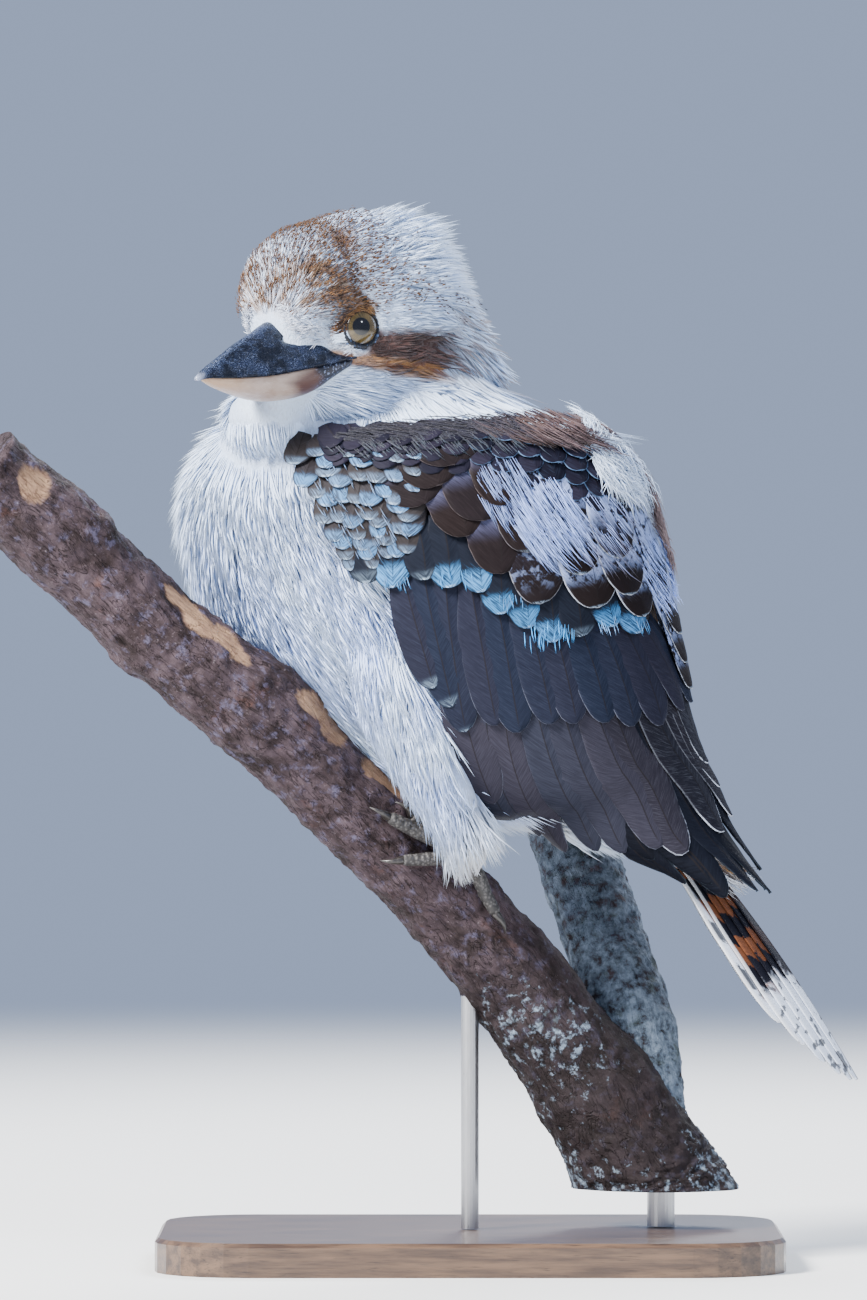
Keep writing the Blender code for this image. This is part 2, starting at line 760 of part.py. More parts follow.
def core_depth(t, angle):
    """The wing's depth over the body under its feathers."""
    along, down = core_share(t, angle)
    rim = min(1.0, 4 * down * (1 - down) + 0.05)
    rim *= min(1.0, 5 * along + 0.15) * min(1.0, 3 * (1 - along) + 0.12)
    return THINNEST_CORE + (CORE_AT_SHOULDER - CORE_TAPER * along) * rim


def wing_point(t, angle, out, side):
    """A point that stands out from the wing's core surface."""
    height = SURFACE_SLACK + core_depth(t, angle) + out
    return ring_point(WING_RINGS, t, angle, side) + ring_normal(WING_RINGS, t, angle, side) * height


def wing_core(side, stations=11, columns=7):
    """The folded wing under its feathers: thick at the shoulder, thin at the rim."""
    outer, inner = [], []
    for i in range(stations):
        a = i / (stations - 1)
        for j in range(columns):
            b = j / (columns - 1)
            start = CORE_FRONT + 0.8 * b * b
            end = CORE_REAR - 2.0 * abs(b - 0.5) / 0.5
            t = start + (end - start) * a
            low = float(np.interp(t, CORE_CHART[:, 0], CORE_CHART[:, 1]))
            angle = WING_UPPER_ANGLE + (low - WING_UPPER_ANGLE) * b
            place = ring_point(WING_RINGS, t, angle, side)
            inner.append(place + ring_normal(WING_RINGS, t, angle, side) * SURFACE_SLACK)
            outer.append(wing_point(t, angle, 0, side))
    return plate(outer, inner, stations, columns)


def plate(outer, inner, rows, columns):
    """A closed plate between two grids of points, split into triangles alike on both faces."""
    half = rows * columns
    faces = []
    for i in range(rows - 1):
        for j in range(columns - 1):
            a, b = i * columns + j, i * columns + j + 1
            c, d = a + columns, b + columns
            faces += [(a, b, d), (a, d, c), (half + a, half + d, half + b), (half + a, half + c, half + d)]
    rim = [j for j in range(columns)]
    rim += [i * columns + columns - 1 for i in range(1, rows)]
    rim += [(rows - 1) * columns + j for j in range(columns - 2, -1, -1)]
    rim += [i * columns for i in range(rows - 2, 0, -1)]
    for a, b in zip(rim, rim[1:] + rim[:1]):
        faces += [(b, a, half + a), (b, half + a, half + b)]
    return list(outer) + list(inner), faces


def along_line(points, share):
    """The point at a share of a polyline's length."""
    points = np.asarray(points, float)
    lengths = np.concatenate(([0], np.cumsum(np.linalg.norm(np.diff(points, axis=0), axis=1))))
    return np.array([np.interp(share * lengths[-1], lengths, points[:, k]) for k in range(points.shape[1])])


LONG_FEATHER = [(0, 0.6), (0.4, 0.95), (0.75, 1.0), (0.92, 0.7), (1, 0.2)]
SHORT_FEATHER = [(0, 0.7), (0.55, 1.0), (0.88, 0.75), (1, 0.25)]
FEATHER_SIDE = 1   # the edge of each vane that lies over its neighbour
FEATHER_SUNK = -2.0  # how far a vane's underside sinks into the core where nothing shows


def wing_feather(root, tip, half_width, lift, free_from, side, own):
    """A vane on the wing, sunk in the core at its root and thin and clear of it from a share of its length.

    own, 0 to 1, is a little of each vane's own height, so that no two faces lie in one place.
    """
    start, end = (np.maximum(place_on_wing(*p), (0, UPPERMOST)) for p in (root, tip))
    outer, inner = [], []
    table = LONG_FEATHER if free_from < 0.9 else SHORT_FEATHER
    edges = (-1, 1)
    for share, wide in table:
        t, angle = start + (end - start) * share
        here = ring_point(WING_RINGS, t, angle, 1)
        by_t = (ring_point(WING_RINGS, t + 0.05, angle, 1) - here) / 0.05
        by_angle = (ring_point(WING_RINGS, t, angle + 0.05, 1) - here) / 0.05
        forward = unit(by_t * (end - start)[0] + by_angle * (end - start)[1])
        across_it = unit(np.cross(ring_normal(WING_RINGS, t, angle, 1), forward))
        moves = np.linalg.lstsq(np.stack((by_t, by_angle), axis=1), across_it, rcond=None)[0]
        for edge in edges:
            reach = edge * wide * half_width
            lean = -0.4 * edge * FEATHER_SIDE
            height = -0.9 + (0.9 + lift) * share + lean + 0.12 * own
            under = height - FEATHER_THICK if share >= free_from else FEATHER_SUNK
            spot_t = t + moves[0] * reach
            spot_angle = max(angle + moves[1] * reach, 0.05 + 0.05 * own)
            deepest = 0.25 + 0.3 * own - core_depth(spot_t, spot_angle)
            height = max(height, deepest + 0.5)
            outer.append(wing_point(spot_t, spot_angle, height, side))
            lowest = max(min(under, height - FEATHER_THICK), deepest)
            inner.append(wing_point(spot_t, spot_angle, lowest, side))
    return plate(outer, inner, len(table), len(edges))


def make_wing(name, side, finish):
    wing = new_object(name, *wing_core(side), finish)
    pieces = []
    for count, half_width, lift, free_from, roots, tips in WING_ROWS.values():
        for i in range(count):
            root, tip = along_line(roots, i / (count - 1)), along_line(tips, i / (count - 1))
            own = len(pieces) * 0.618 % 1
            pieces.append(wing_feather(root, tip, half_width, lift, free_from, side, own))
    fuse(wing, pieces)
    return wing


# The legs

THIGH = np.array([(-37, -34, 230, 19), (-28, -40, 209, 18), (-15, -43, 183, 15.5), (-4, -42, 163, 12.5),
                  (2, -40, 150, 8.5), (2, -37, 139, 2)], float)
FAR_THIGH = np.array([(-46, 30, 222, 19), (-42, 34, 205, 19), (-38, 28, 190, 15), (-36, 20, 180, 10),
                      (-36, 12, 172, 6.5)], float)


def branch_frame(t):
    """Centre, radius, along, up and sideways directions of the branch at t."""
    x, y, z, r = smooth_value(BRANCH, t)
    ahead, behind = smooth_value(BRANCH, t + 0.05), smooth_value(BRANCH, t - 0.05)
    along = unit((ahead - behind)[:3])
    side = unit(np.cross(along, (1, 0, 1)))
    if side[1] > 0:
        side = -side
    up = np.cross(side, along)
    if up[2] < 0:
        up = -up
    return np.array((x, y, z)), r, along, up, side


def on_branch(t, angle, out):
    """A point over the bark: angle 0 is the upper side, 90 degrees the side towards -Y."""
    centre, r, _, up, side = branch_frame(t)
    return centre + (r + out) * (math.cos(angle) * up + math.sin(angle) * side)


FOOT_HUBS = {"foot_left": (5.35, math.radians(42)), "foot_right": (4.35, math.radians(-38))}
# Each toe: how far its tip lies along the branch, in rings, and around it, in degrees, and its root radius.
TOES = [(-0.62, 8, 3.3), (-0.78, 30, 3.4), (-0.42, 52, 3.0), (0.62, 18, 3.1)]
TOE_STEPS = 6
CLAW_STEPS = 4
CLAW_LENGTH = 8.0
CLAW_RADIUS, CLAW_POINT = 1.5, 0.35
SHANK_RADII = [4.4, 3.6, 3.8]
SHANK_OVER = 4.6   # the hub of the toes stands this far off the bark
SKIN_CLEAR = 0.45


def make_foot(name, scales):
    hub_t, hub_angle = FOOT_HUBS[name]
    turn = 1 if hub_angle > 0 else -1
    hub = on_branch(hub_t, hub_angle, SHANK_OVER)
    pieces = []
    for reach, sweep, radius in TOES:
        path, radii = [], []
        for i in range(TOE_STEPS):
            share = i / (TOE_STEPS - 1)
            r = radius * (1 - 0.35 * share)
            arch = 1.2 * math.sin(math.pi * min(1, share * 1.6))
            angle = hub_angle + turn * math.radians(sweep) * share
            path.append(on_branch(hub_t + reach * share, angle, r + SKIN_CLEAR + arch))
            radii.append(r)
        claw_from, heading = path[-1], unit(path[-1] - path[-2])
        centre, _, _, _, _ = branch_frame(hub_t + reach)
        outward = unit(claw_from - centre)
        for i in range(1, CLAW_STEPS):
            share = i / (CLAW_STEPS - 1)
            curve = 1.6 * math.sin(math.pi * share) - 0.6 * share
            path.append(claw_from + heading * CLAW_LENGTH * share + outward * curve)
            radii.append(CLAW_RADIUS * (1 - share) + CLAW_POINT)
        pieces.append(tube(path, radii, 6))
    top = hub + np.array((3, 0, 14)) + (0, -2 * turn, 0)
    shank = [hub - np.array((0, 0, 1)), (hub + top) / 2, top]
    foot = new_object(name, *tube(shank, SHANK_RADII), scales)
    fuse(foot, pieces)
    return foot


def make_thigh(name, table, plumage):
    rows = [smooth_value(table, (len(table) - 1) * i / 8) for i in range(9)]
    thigh = new_object(name, *tube([r[:3] for r in rows], [r[3] for r in rows], 12), plumage)
    outwards = -1 if table is THIGH else 1
    pieces = []
    for i in range(7):
        row = smooth_value(table, 1.2 + (len(table) - 2.6) * i / 6)
        ahead = smooth_value(table, 1.5 + (len(table) - 2.6) * i / 6)
        down = unit((ahead - row)[:3])
        angle = 1.1 * math.sin(5.1 * i)
        out = unit(np.array((math.sin(angle) * 0.9, outwards * math.cos(angle), 0.2)))
        pieces.append(lock(row[:3] + out * (row[3] - 1.5), down + out * 0.1, out, 20, 9.0, 2.4))
    fuse(thigh, pieces)
    return thigh


# The perch and the stand

KNOTS = [  # t along, degrees round, height, spread along in rings, spread round in radians
    (0.9, 25, 3.0, 0.35, 0.5),
    (3.35, 0, 4.2, 0.3, 0.6),
    (1.95, 175, 3.0, 0.16, 0.3),
    (9.0, 190, 3.5, 0.3, 0.4),
    (8.2, 20, 3.0, 0.3, 0.5),
]


def bark_radius(t, angle, radius):
    """The branch's radius with its knots."""
    for at, degrees, height, along, around in KNOTS:
        turn = (angle - math.radians(degrees) + math.pi) % (2 * math.pi) - math.pi
        radius += height * math.exp(-((t - at) / along) ** 2 - (turn / around) ** 2)
    return radius


def make_perch(bark):
    last = len(BRANCH) - 1
    rings = []
    for i in range(BRANCH_STATIONS):
        t = last * i / (BRANCH_STATIONS - 1)
        _, r, _, _, _ = branch_frame(t)
        ring = []
        for j in range(BRANCH_SIDES):
            a = 2 * math.pi * j / BRANCH_SIDES
            ring.append(on_branch(t, a, bark_radius(t, a, r) - r))
        rings.append(ring)
    branch = new_object("perch_branch", *loft(rings), bark)
    foot = trimmed_copy(branch, "perch_branch_cut", [((0, 0, BASE_SIZE[2] + PIN_SHOWS), (0, 0, -1))], bark)
    bpy.data.objects.remove(branch)
    foot.name = "perch_branch"
    rows = [smooth_value(FORK, (len(FORK) - 1) * i / 9) for i in range(10)]
    fork = new_object("perch_fork", *tube([r[:3] for r in rows], [r[3] for r in rows], 12), bark)
    clear_of(fork, [foot])
    return foot, fork


def make_stand(branch, wood, steel):
    length, depth, thick = BASE_SIZE
    outline = []
    for cx, cy, start in ((1, 1, 0), (-1, 1, 90), (-1, -1, 180), (1, -1, 270)):
        for i in range(7):
            a = math.radians(start + 15 * i)
            outline.append((
                cx * (length / 2 - BASE_CORNER) + BASE_CORNER * math.cos(a),
                cy * (depth / 2 - BASE_CORNER) + BASE_CORNER * math.sin(a),
            ))
    shaped = bmesh.new()
    bottom = shaped.faces.new([shaped.verts.new((x * MM, y * MM, 0)) for x, y in outline])
    raised = bmesh.ops.extrude_face_region(shaped, geom=[bottom])
    top = [v for v in raised["geom"] if isinstance(v, bmesh.types.BMVert)]
    bmesh.ops.translate(shaped, vec=(0, 0, thick * MM), verts=top)
    bmesh.ops.recalc_face_normals(shaped, faces=shaped.faces)
    rim = [e for e in shaped.edges if all(v.co.z > thick * MM / 2 for v in e.verts)]
    bmesh.ops.bevel(
        shaped, geom=rim, offset=BASE_EDGE * MM, segments=1, profile=0.5, affect="EDGES", material=-1
    )
    mesh = bpy.data.meshes.new("stand_base")
    shaped.to_mesh(mesh)
    shaped.free()
    mesh.materials.append(wood)
    base = bpy.data.objects.new("stand_base", mesh)
    bpy.context.scene.collection.objects.link(base)
    pin_x, pin_y, _, _ = BRANCH[-1]
    pin_ends = [(pin_x, pin_y, thick + GAP), (pin_x, pin_y, thick + PIN_SHOWS - GAP)]
    pin = new_object("stand_pin", *tube(pin_ends, [PIN_RADIUS] * 2, 24), steel)
    rod_x, rod_y, rod_z, _ = BRANCH[6]
    rod_ends = [(rod_x, rod_y, thick + GAP), (rod_x, rod_y, rod_z)]
    rod = new_object("stand_rod", *tube(rod_ends, [ROD_RADIUS] * 2, 20), steel)
    clear_of(rod, [branch], GAP)
    for obj in (pin, rod):
        smooth_shading(obj)
    smooth_shading(base)
    return base


def main():
    for old in list(bpy.data.objects):
        bpy.data.objects.remove(old)
    plumage = material("brown_plumage", (0.16, 0.11, 0.09), 0.8)
    pale = material("white_plumage", (0.85, 0.84, 0.82), 0.85)
    wing_finish = material("wing_plumage", (0.10, 0.11, 0.14), 0.6)
    tail_finish = material("tail_plumage", (0.35, 0.17, 0.09), 0.6)
    bill_black = material("bill_black", (0.02, 0.022, 0.03), 0.3)
    bill_horn = material("bill_horn", (0.62, 0.5, 0.38), 0.4)
    eye_brown = material("eye_brown", (0.14, 0.09, 0.03), 0.05)
    scales = material("foot_scales", (0.12, 0.12, 0.12), 0.5)
    bark = material("bark", (0.13, 0.09, 0.08), 0.9)
    wood = material("stand_wood", (0.05, 0.035, 0.028), 0.35)
    steel = material("stand_steel", (0.5, 0.5, 0.5), 0.3, 1.0)

    whole, head, neck, torso, tail = make_body(plumage, pale, tail_finish)
    fuse(torso, breast_locks())
    retrim(torso, OVER_TORSO)
    make_face(head, bill_black, bill_horn, eye_brown)
    retrim(head, UNDER_HEAD)
    make_tail_feathers(tail)
    retrim(tail, OVER_TAIL)
    branch, fork = make_perch(bark)
    feet = [make_foot(name, scales) for name in FOOT_HUBS]
    clear_of(torso, [branch, *feet])
    wings = []
    for name, side in (("wing_left", 1), ("wing_right", -1)):
        wing = make_wing(name, side, wing_finish)
        clear_of(wing, [whole])
        wings.append(wing)
    clear_of_feathers(torso, wings, GAP)
    clear_of_feathers(head, wings, GAP)
    for name, table in (("thigh_left", THIGH), ("thigh_right", FAR_THIGH)):
        thigh = make_thigh(name, table, pale)
        clear_of(thigh, [whole, branch, *feet])
        clear_of_feathers(thigh, wings)
        clear_of_feathers(torso, [thigh], GAP)
        smooth_shading(thigh)
    bpy.data.objects.remove(whole)
    for obj in (head, neck, torso, tail, *wings, branch, fork, *feet):
        smooth_shading(obj)
    make_stand(branch, wood, steel)


main()
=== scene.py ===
# %% [markdown]
# # A laughing kookaburra on its branch
# This lesson dresses a imported model of a life-size kookaburra. The solids give the pose and the sizes.
# Here the bird gets one skin, thousands of small feathers that follow the lie of the plumage, large
# wing and tail feathers with their patterns, a glossy bill, wet eyes, and a branch with bark and
# lichen. Numbers are in millimetres and turn to metres when a mesh is made. The bird's body faces -X,
# its left side faces -Y and the camera, and +Z is up.

# %% Load the solids
import math

import bmesh
import bpy
import numpy as np
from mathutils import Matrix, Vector, kdtree


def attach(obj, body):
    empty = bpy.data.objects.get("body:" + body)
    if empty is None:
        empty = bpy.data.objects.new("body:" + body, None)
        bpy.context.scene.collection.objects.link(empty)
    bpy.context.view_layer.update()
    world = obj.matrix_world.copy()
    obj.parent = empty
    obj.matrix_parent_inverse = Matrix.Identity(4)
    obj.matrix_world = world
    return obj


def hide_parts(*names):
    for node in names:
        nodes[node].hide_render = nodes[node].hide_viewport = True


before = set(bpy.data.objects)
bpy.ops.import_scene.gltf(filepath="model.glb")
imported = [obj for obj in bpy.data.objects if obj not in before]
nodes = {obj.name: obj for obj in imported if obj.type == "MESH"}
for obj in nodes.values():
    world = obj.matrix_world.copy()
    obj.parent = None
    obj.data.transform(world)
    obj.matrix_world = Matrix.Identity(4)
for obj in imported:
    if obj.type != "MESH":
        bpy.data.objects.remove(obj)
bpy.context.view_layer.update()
MM = 0.001
TURN = 2 * math.pi
print("nodes:", ", ".join(sorted(nodes)))

# %% [markdown]
# ## The rings that the bird is built on
# A bird's body is a smooth bag of feathers, so a few rings with a smooth curve through them describe it
# well. The same rings serve three times: for the skin, for the lie of every feather, and for the map
# that says where a marking sits. A ring row of the body holds the back point, the belly point and the
# half width. The head has its own frame, turned towards the camera, with distances forward, sideways
# and up from the eye.

# %% Body, wing and head rings
BODY = np.array([
    (0, 336, -75, 310, 30),
    (13, 316, -92, 301, 38),
    (27, 305, -103, 285, 45),
    (43, 296, -105, 264, 51),
    (56, 282, -99, 238, 55),
    (64, 260, -85, 212, 57),
    (70, 235, -61, 190, 55),
    (76, 210, -34, 172, 51),
    (81, 186, -7, 161, 45),
    (85, 168, 22, 157, 36),
    (89, 156, 50, 153, 26),
    (96, 142, 79, 143, 13),
], float)
WING_RINGS = np.array([*BODY[:9], (87, 172, 13, 161, 40), (93, 157, 34, 149, 36), (100, 144, 61, 143, 33),
                       (110, 129, 88, 130, 30), (119, 112, 112, 114, 28)], float)
HEAD_RINGS = np.array([
    (25.5, 9, -26, 12.5),
    (21.5, 22.5, -28.5, 17.5),
    (13, 31, -31, 21.5),
    (2, 37, -33, 24.5),
    (-10, 41, -35, 29),
    (-24, 43.5, -37, 33),
    (-38, 43, -38, 35),
    (-52, 36, -38, 34),
    (-64, 22, -37, 31),
    (-73, 4, -33, 22),
], float)
HEAD_AT = np.array((-54.7, -29.0, 336.2))
HEAD_TURN = math.radians(47)
WIDEST_AT = -4.0
NAPE_SAG = 11.0        # the nape is widest this much lower
BROW_FULLNESS = 0.42   # how boxy the forehead's sections are
NAPE_SLOPE = 0.40      # how steeply the nape's sections narrow upwards
BILL_PINCH = 0.30      # how much the face narrows to meet the bill
THIGH = np.array([(-37, -34, 230, 19), (-28, -40, 209, 18), (-15, -43, 183, 15.5), (-4, -42, 163, 12.5),
                  (2, -40, 150, 8.5), (2, -37, 139, 2)], float)
FAR_THIGH = np.array([(-46, 30, 222, 19), (-42, 34, 205, 19), (-38, 28, 190, 15), (-36, 20, 180, 10),
                      (-36, 12, 172, 6.5)], float)


def smooth_rows(rows, t):
    """Rows read at t on a smooth curve, where t counts rows and may be an array."""
    t = np.asarray(t, float)
    first = np.clip(np.floor(t).astype(int), 0, len(rows) - 2)
    f = (t - first)[..., None]
    padded = np.concatenate((2 * rows[:1] - rows[1:2], rows, 2 * rows[-1:] - rows[-2:-1]))
    before, a, b, after = (padded[first + k] for k in range(4))
    return 0.5 * (
        2 * a
        + (b - before) * f
        + (2 * before - 5 * a + 4 * b - after) * f**2
        + (3 * a - before - 3 * b + after) * f**3
    )


def unit(v):
    v = np.asarray(v, float)
    return v / np.maximum(np.linalg.norm(v, axis=-1, keepdims=True), 1e-9)


def ramp(low, high, x):
    """0 below low, 1 above high, smooth between. It runs the other way where high is the smaller."""
    share = np.clip((np.asarray(x, float) - low) / (high - low), 0, 1)
    return share * share * (3 - 2 * share)


def ring_place(table, t, angle, side=1):
    """A point on a body ring: angle 0 is the back, a quarter turn the flank, a half turn the belly."""
    bx, bz, vx, vz, w = np.moveaxis(smooth_rows(table, t), -1, 0)
    up = np.cos(angle)
    x = (bx + vx) / 2 + (bx - vx) / 2 * up
    z = (bz + vz) / 2 + (bz - vz) / 2 * up
    return np.stack((x, -side * w * np.sin(angle), z), axis=-1)


def ring_slopes(table, t, angle, side=1):
    """How the ring point moves with t and with angle, and the outward direction there."""
    step = 0.02

    def change(by_t, by_angle):
        later = ring_place(table, t + by_t, angle + by_angle, side)
        return (later - ring_place(table, t - by_t, angle - by_angle, side)) / (2 * step)

    by_t, by_angle = change(step, 0), change(0, step)
    return by_t, by_angle, unit(np.cross(by_angle, by_t)) * side


def from_head(forward, sideways, up):
    """A point of the head's own frame, placed on the bird. Sideways is towards its left."""
    c, s = math.cos(HEAD_TURN), math.sin(HEAD_TURN)
    forward, sideways, up = np.broadcast_arrays(forward, sideways, up)
    return HEAD_AT + np.stack((-forward * c + sideways * s, -forward * s - sideways * c, up), axis=-1)


def to_head(points):
    """Forward, sideways and up of points, in the head's own frame."""
    c, s = math.cos(HEAD_TURN), math.sin(HEAD_TURN)
    d = np.asarray(points, float) - HEAD_AT
    return np.stack((-d[..., 0] * c - d[..., 1] * s, d[..., 0] * s - d[..., 1] * c, d[..., 2]), axis=-1)


def head_place(row, angle, out=0.0):
    """A point on the head. Row counts rings from the bill, angle 0 is the crown, a quarter turn the left."""
    forward, top, bottom, w = np.moveaxis(smooth_rows(HEAD_RINGS, row), -1, 0)
    front, rear = ramp(0, 14, forward), ramp(-26, -50, forward)
    up, across = np.cos(angle), np.sin(angle)
    widest = WIDEST_AT - NAPE_SAG * rear
    reach = np.where(up > 0, top - widest, widest - bottom) + out
    fullness = np.where(up > 0, 1 - BROW_FULLNESS * front + NAPE_SLOPE * rear, 1.0)
    height = widest + reach * up
    w = w * (1 - BILL_PINCH * ramp(0, 13, forward) * ramp(6, -6, height))
    return from_head(forward, (w + out) * np.sign(across) * np.abs(across) ** fullness, height)


def tube_frame(table, t):
    """Centre, radius, along, up and sideways of a tube through rows of x, y, z and radius."""
    rows = smooth_rows(table, t)
    ahead = smooth_rows(table, np.asarray(t, float) + 0.05)
    behind = smooth_rows(table, np.asarray(t, float) - 0.05)
    along = unit((ahead - behind)[..., :3])
    sideways = unit(np.cross(along, (1.0, 0.0, 1.0)))
    return rows[..., :3], rows[..., 3], along, np.cross(sideways, along), sideways


def swung(angle, first, second):
    """The direction that lies at this angle from the first one, towards the second."""
    return np.cos(angle)[..., None] * first + np.sin(angle)[..., None] * second


def tube_place(table, t, angle, out=0.0):
    """A point of a tube's skin, or standing out from it."""
    centre, r, _, up, sideways = tube_frame(table, t)
    return centre + (r + out)[..., None] * swung(angle, up, sideways)


print("body length along the back:", round(float(np.linalg.norm(BODY[0, :2] - BODY[-1, :2]))), "mm")

# %% [markdown]
# ## The camera
# The photograph was taken with a long lens level with the bird, so the view is almost parallel: the
# camera stands far off and its angle is narrow. The frame is 867 by 1300 pixels, and one pixel is 0.36
# mm at the bird.

# %% Camera
PHOTO_SIZE = (867, 1300)
PIXEL = 0.36
PHOTO_MIDDLE = (-13.1, 220.3)
CAMERA_AWAY = 3000.0
FILM_HEIGHT = 36.0

camera_data = bpy.data.cameras.new("camera")
camera_data.sensor_fit = "VERTICAL"
camera_data.sensor_height = FILM_HEIGHT
camera_data.lens = FILM_HEIGHT * CAMERA_AWAY / (PHOTO_SIZE[1] * PIXEL)
camera_data.clip_end = 100
camera = bpy.data.objects.new("camera", camera_data)
camera.location = Vector((PHOTO_MIDDLE[0], -CAMERA_AWAY, PHOTO_MIDDLE[1])) * MM
camera.rotation_euler = (math.pi / 2, 0, 0)
bpy.context.scene.collection.objects.link(camera)
bpy.context.scene.camera = camera
print("lens:", round(camera_data.lens), "mm")

# %% [markdown]
# ## Smooth noise and even scatter
# Nature's patterns drift rather than repeat. This noise is worked out in numpy for many points at once,
# from random numbers at the corners of a grid with a smooth blend between them. The scatter keeps one
# random spot in each small cell, which spreads feathers evenly and still leaves no rows.

# %% Noise and scatter
chance = np.random.default_rng(20)
NOISE_TABLE = chance.random(4096) * 2 - 1


def drift(points, size, seed=0):
    """Noise from -1 to 1 that changes over about this size."""
    p = np.asarray(points, float) / size + 100.0 + seed * 17.3
    cell = np.floor(p).astype(np.int64)
    f = p - cell
    f = f * f * (3 - 2 * f)
    total = 0.0
    for corner in range(8):
        bits = np.array((corner & 1, corner >> 1 & 1, corner >> 2 & 1))
        spot = cell + bits
        code = (spot[..., 0] * 73856093 ^ spot[..., 1] * 19349663 ^ spot[..., 2] * 83492791) % 4093
        weight = np.prod(np.where(bits, f, 1 - f), axis=-1)
        total = total + NOISE_TABLE[code] * weight
    return total


def rough_drift(points, size, octaves, seed):
    """Noise with finer noise on it."""
    return sum(drift(points, size / 2**k, seed + k) * 0.5**k for k in range(octaves))


def one_per_cell(points, cell):
    """The numbers of the first point in each cube of this size."""
    keys = np.floor(points / cell).astype(np.int64)
    code = keys[:, 0] * 4000037 + keys[:, 1] * 2003 + keys[:, 2]
    return np.sort(np.unique(code, return_index=True)[1])


def mix(a, b, share):
    """a where share is 0 and b where it is 1."""
    share = np.asarray(share, float)[..., None]
    return np.asarray(a, float) * (1 - share) + np.asarray(b, float) * share


# %% [markdown]
# ## Making meshes
# Smooth single pieces start as a bmesh grid that a formula bends to shape. The grid's two long edges
# meet, so its doubles are merged, and what stays open at the ends is filled. Feathers come in
# thousands, so theirs are joined meshes made from arrays: one small closed shape repeated, with all
# corners worked out at once.

# %% Mesh helpers
def finish_object(name, mesh, material):
    mesh.materials.append(material)
    mesh.shade_smooth()
    made = bpy.data.objects.new(name, mesh)
    bpy.context.scene.collection.objects.link(made)
    return made


def bend_grid(shaped, rows, columns, place):
    """Adds a grid to a bmesh, bent by place(share along, share round), closed round and at both ends."""
    grid = bmesh.ops.create_grid(shaped, x_segments=rows, y_segments=columns, size=0.5)
    flat = np.array([v.co for v in grid["verts"]])
    for vertex, spot in zip(grid["verts"], place(flat[:, 0] + 0.5, flat[:, 1] + 0.5) * MM):
        vertex.co = spot
    bmesh.ops.remove_doubles(shaped, verts=shaped.verts, dist=1e-7)
    bmesh.ops.holes_fill(shaped, edges=[e for e in shaped.edges if e.is_boundary], sides=0)
    caps = [f for f in shaped.faces if len(f.verts) > 4]
    bmesh.ops.triangulate(shaped, faces=caps)
    bmesh.ops.recalc_face_normals(shaped, faces=shaped.faces)


def joined_shapes(name, layout):
    """One mesh of closed shapes, each bent from a grid. The layout names their place, rows and columns."""
    mesh = bpy.data.meshes.new(name)
    whole = bmesh.new()
    for place, rows, columns in layout:
        shaped = bmesh.new()
        bend_grid(shaped, rows, columns, place)
        part = bpy.data.meshes.new("part")
        shaped.to_mesh(part)
        shaped.free()
        whole.from_mesh(part)
        bpy.data.meshes.remove(part)
    whole.to_mesh(mesh)
    whole.free()
    return mesh


def bent_piece(name, material, rows, columns, *places):
    """An object of one or more closed shapes that are bent from like grids."""
    return finish_object(name, joined_shapes(name, [(place, rows, columns) for place in places]), material)


def mesh_from_arrays(name, material, points, triangles, uv, colours, vectors=None):
    """A joined mesh of many small closed shapes. The unwrap, colours and vectors are given for each point."""
    mesh = bpy.data.meshes.new(name)
    mesh.vertices.add(len(points))
    mesh.vertices.foreach_set("co", (points * MM).astype(np.float32).ravel())
    mesh.loops.add(triangles.size)
    mesh.loops.foreach_set("vertex_index", triangles.astype(np.int32).ravel())
    mesh.polygons.add(len(triangles))
    mesh.polygons.foreach_set("loop_start", np.arange(0, triangles.size, 3, dtype=np.int32))
    mesh.update(calc_edges=True)
    layer = mesh.uv_layers.new(name="OFBake")
    layer.uv.foreach_set("vector", uv[triangles.ravel()].astype(np.float32).ravel())
    for key, values in colours.items():
        store_colour(mesh, key, values)
    for key, values in (vectors or {}).items():
        store_values(mesh, key, values)
    return finish_object(name, mesh, material)


def store_colour(mesh, key, values):
    """Keeps a colour for each point, under a name that the material reads."""
    layer = mesh.color_attributes.new(key, "FLOAT_COLOR", "POINT")
    full = np.concatenate((values, np.ones((len(values), 1))), axis=1)
    layer.data.foreach_set("color", full.astype(np.float32).ravel())


def store_values(mesh, key, values, kind="FLOAT_VECTOR"):
    """Keeps a vector or a plain number for each point, under a name that the material reads."""
    layer = mesh.attributes.new(key, kind, "POINT")
    layer.data.foreach_set("vector" if kind == "FLOAT_VECTOR" else "value", values.astype(np.float32).ravel())


def points_of(piece):
    """A piece's points in millimetres."""
    spots = np.zeros(len(piece.data.vertices) * 3)
    piece.data.vertices.foreach_get("co", spots)
    return spots.reshape(-1, 3) / MM


def nearest_numbers(points, numbers, wanted):
    """For each wanted place, the number of the nearest of the chosen points."""
    tree = kdtree.KDTree(len(numbers))
    for number in numbers:
        tree.insert(points[number], int(number))
    tree.balance()
    return np.array([tree.find(place)[1] for place in wanted])


def triangle_count(piece):
    return sum(len(face.vertices) - 2 for face in piece.data.polygons)


pieces_of = {}


def stands_for(piece, slot, *replaced):
    """The piece rides on the model's one body and may replace solids. Its slot is not used."""
    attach(piece, "root")
    if replaced:
        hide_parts(*replaced)
    pieces_of[piece.name] = triangle_count(piece)
    print(piece.name, pieces_of[piece.name], "triangles")


# %% [markdown]
# ## A small language for finishes
# A finish is a network of nodes. Writing one as an expression is easier to read than wiring it by hand,
# so a small class wraps a socket and lets + - * add Math nodes. Every other node comes from one
# method.

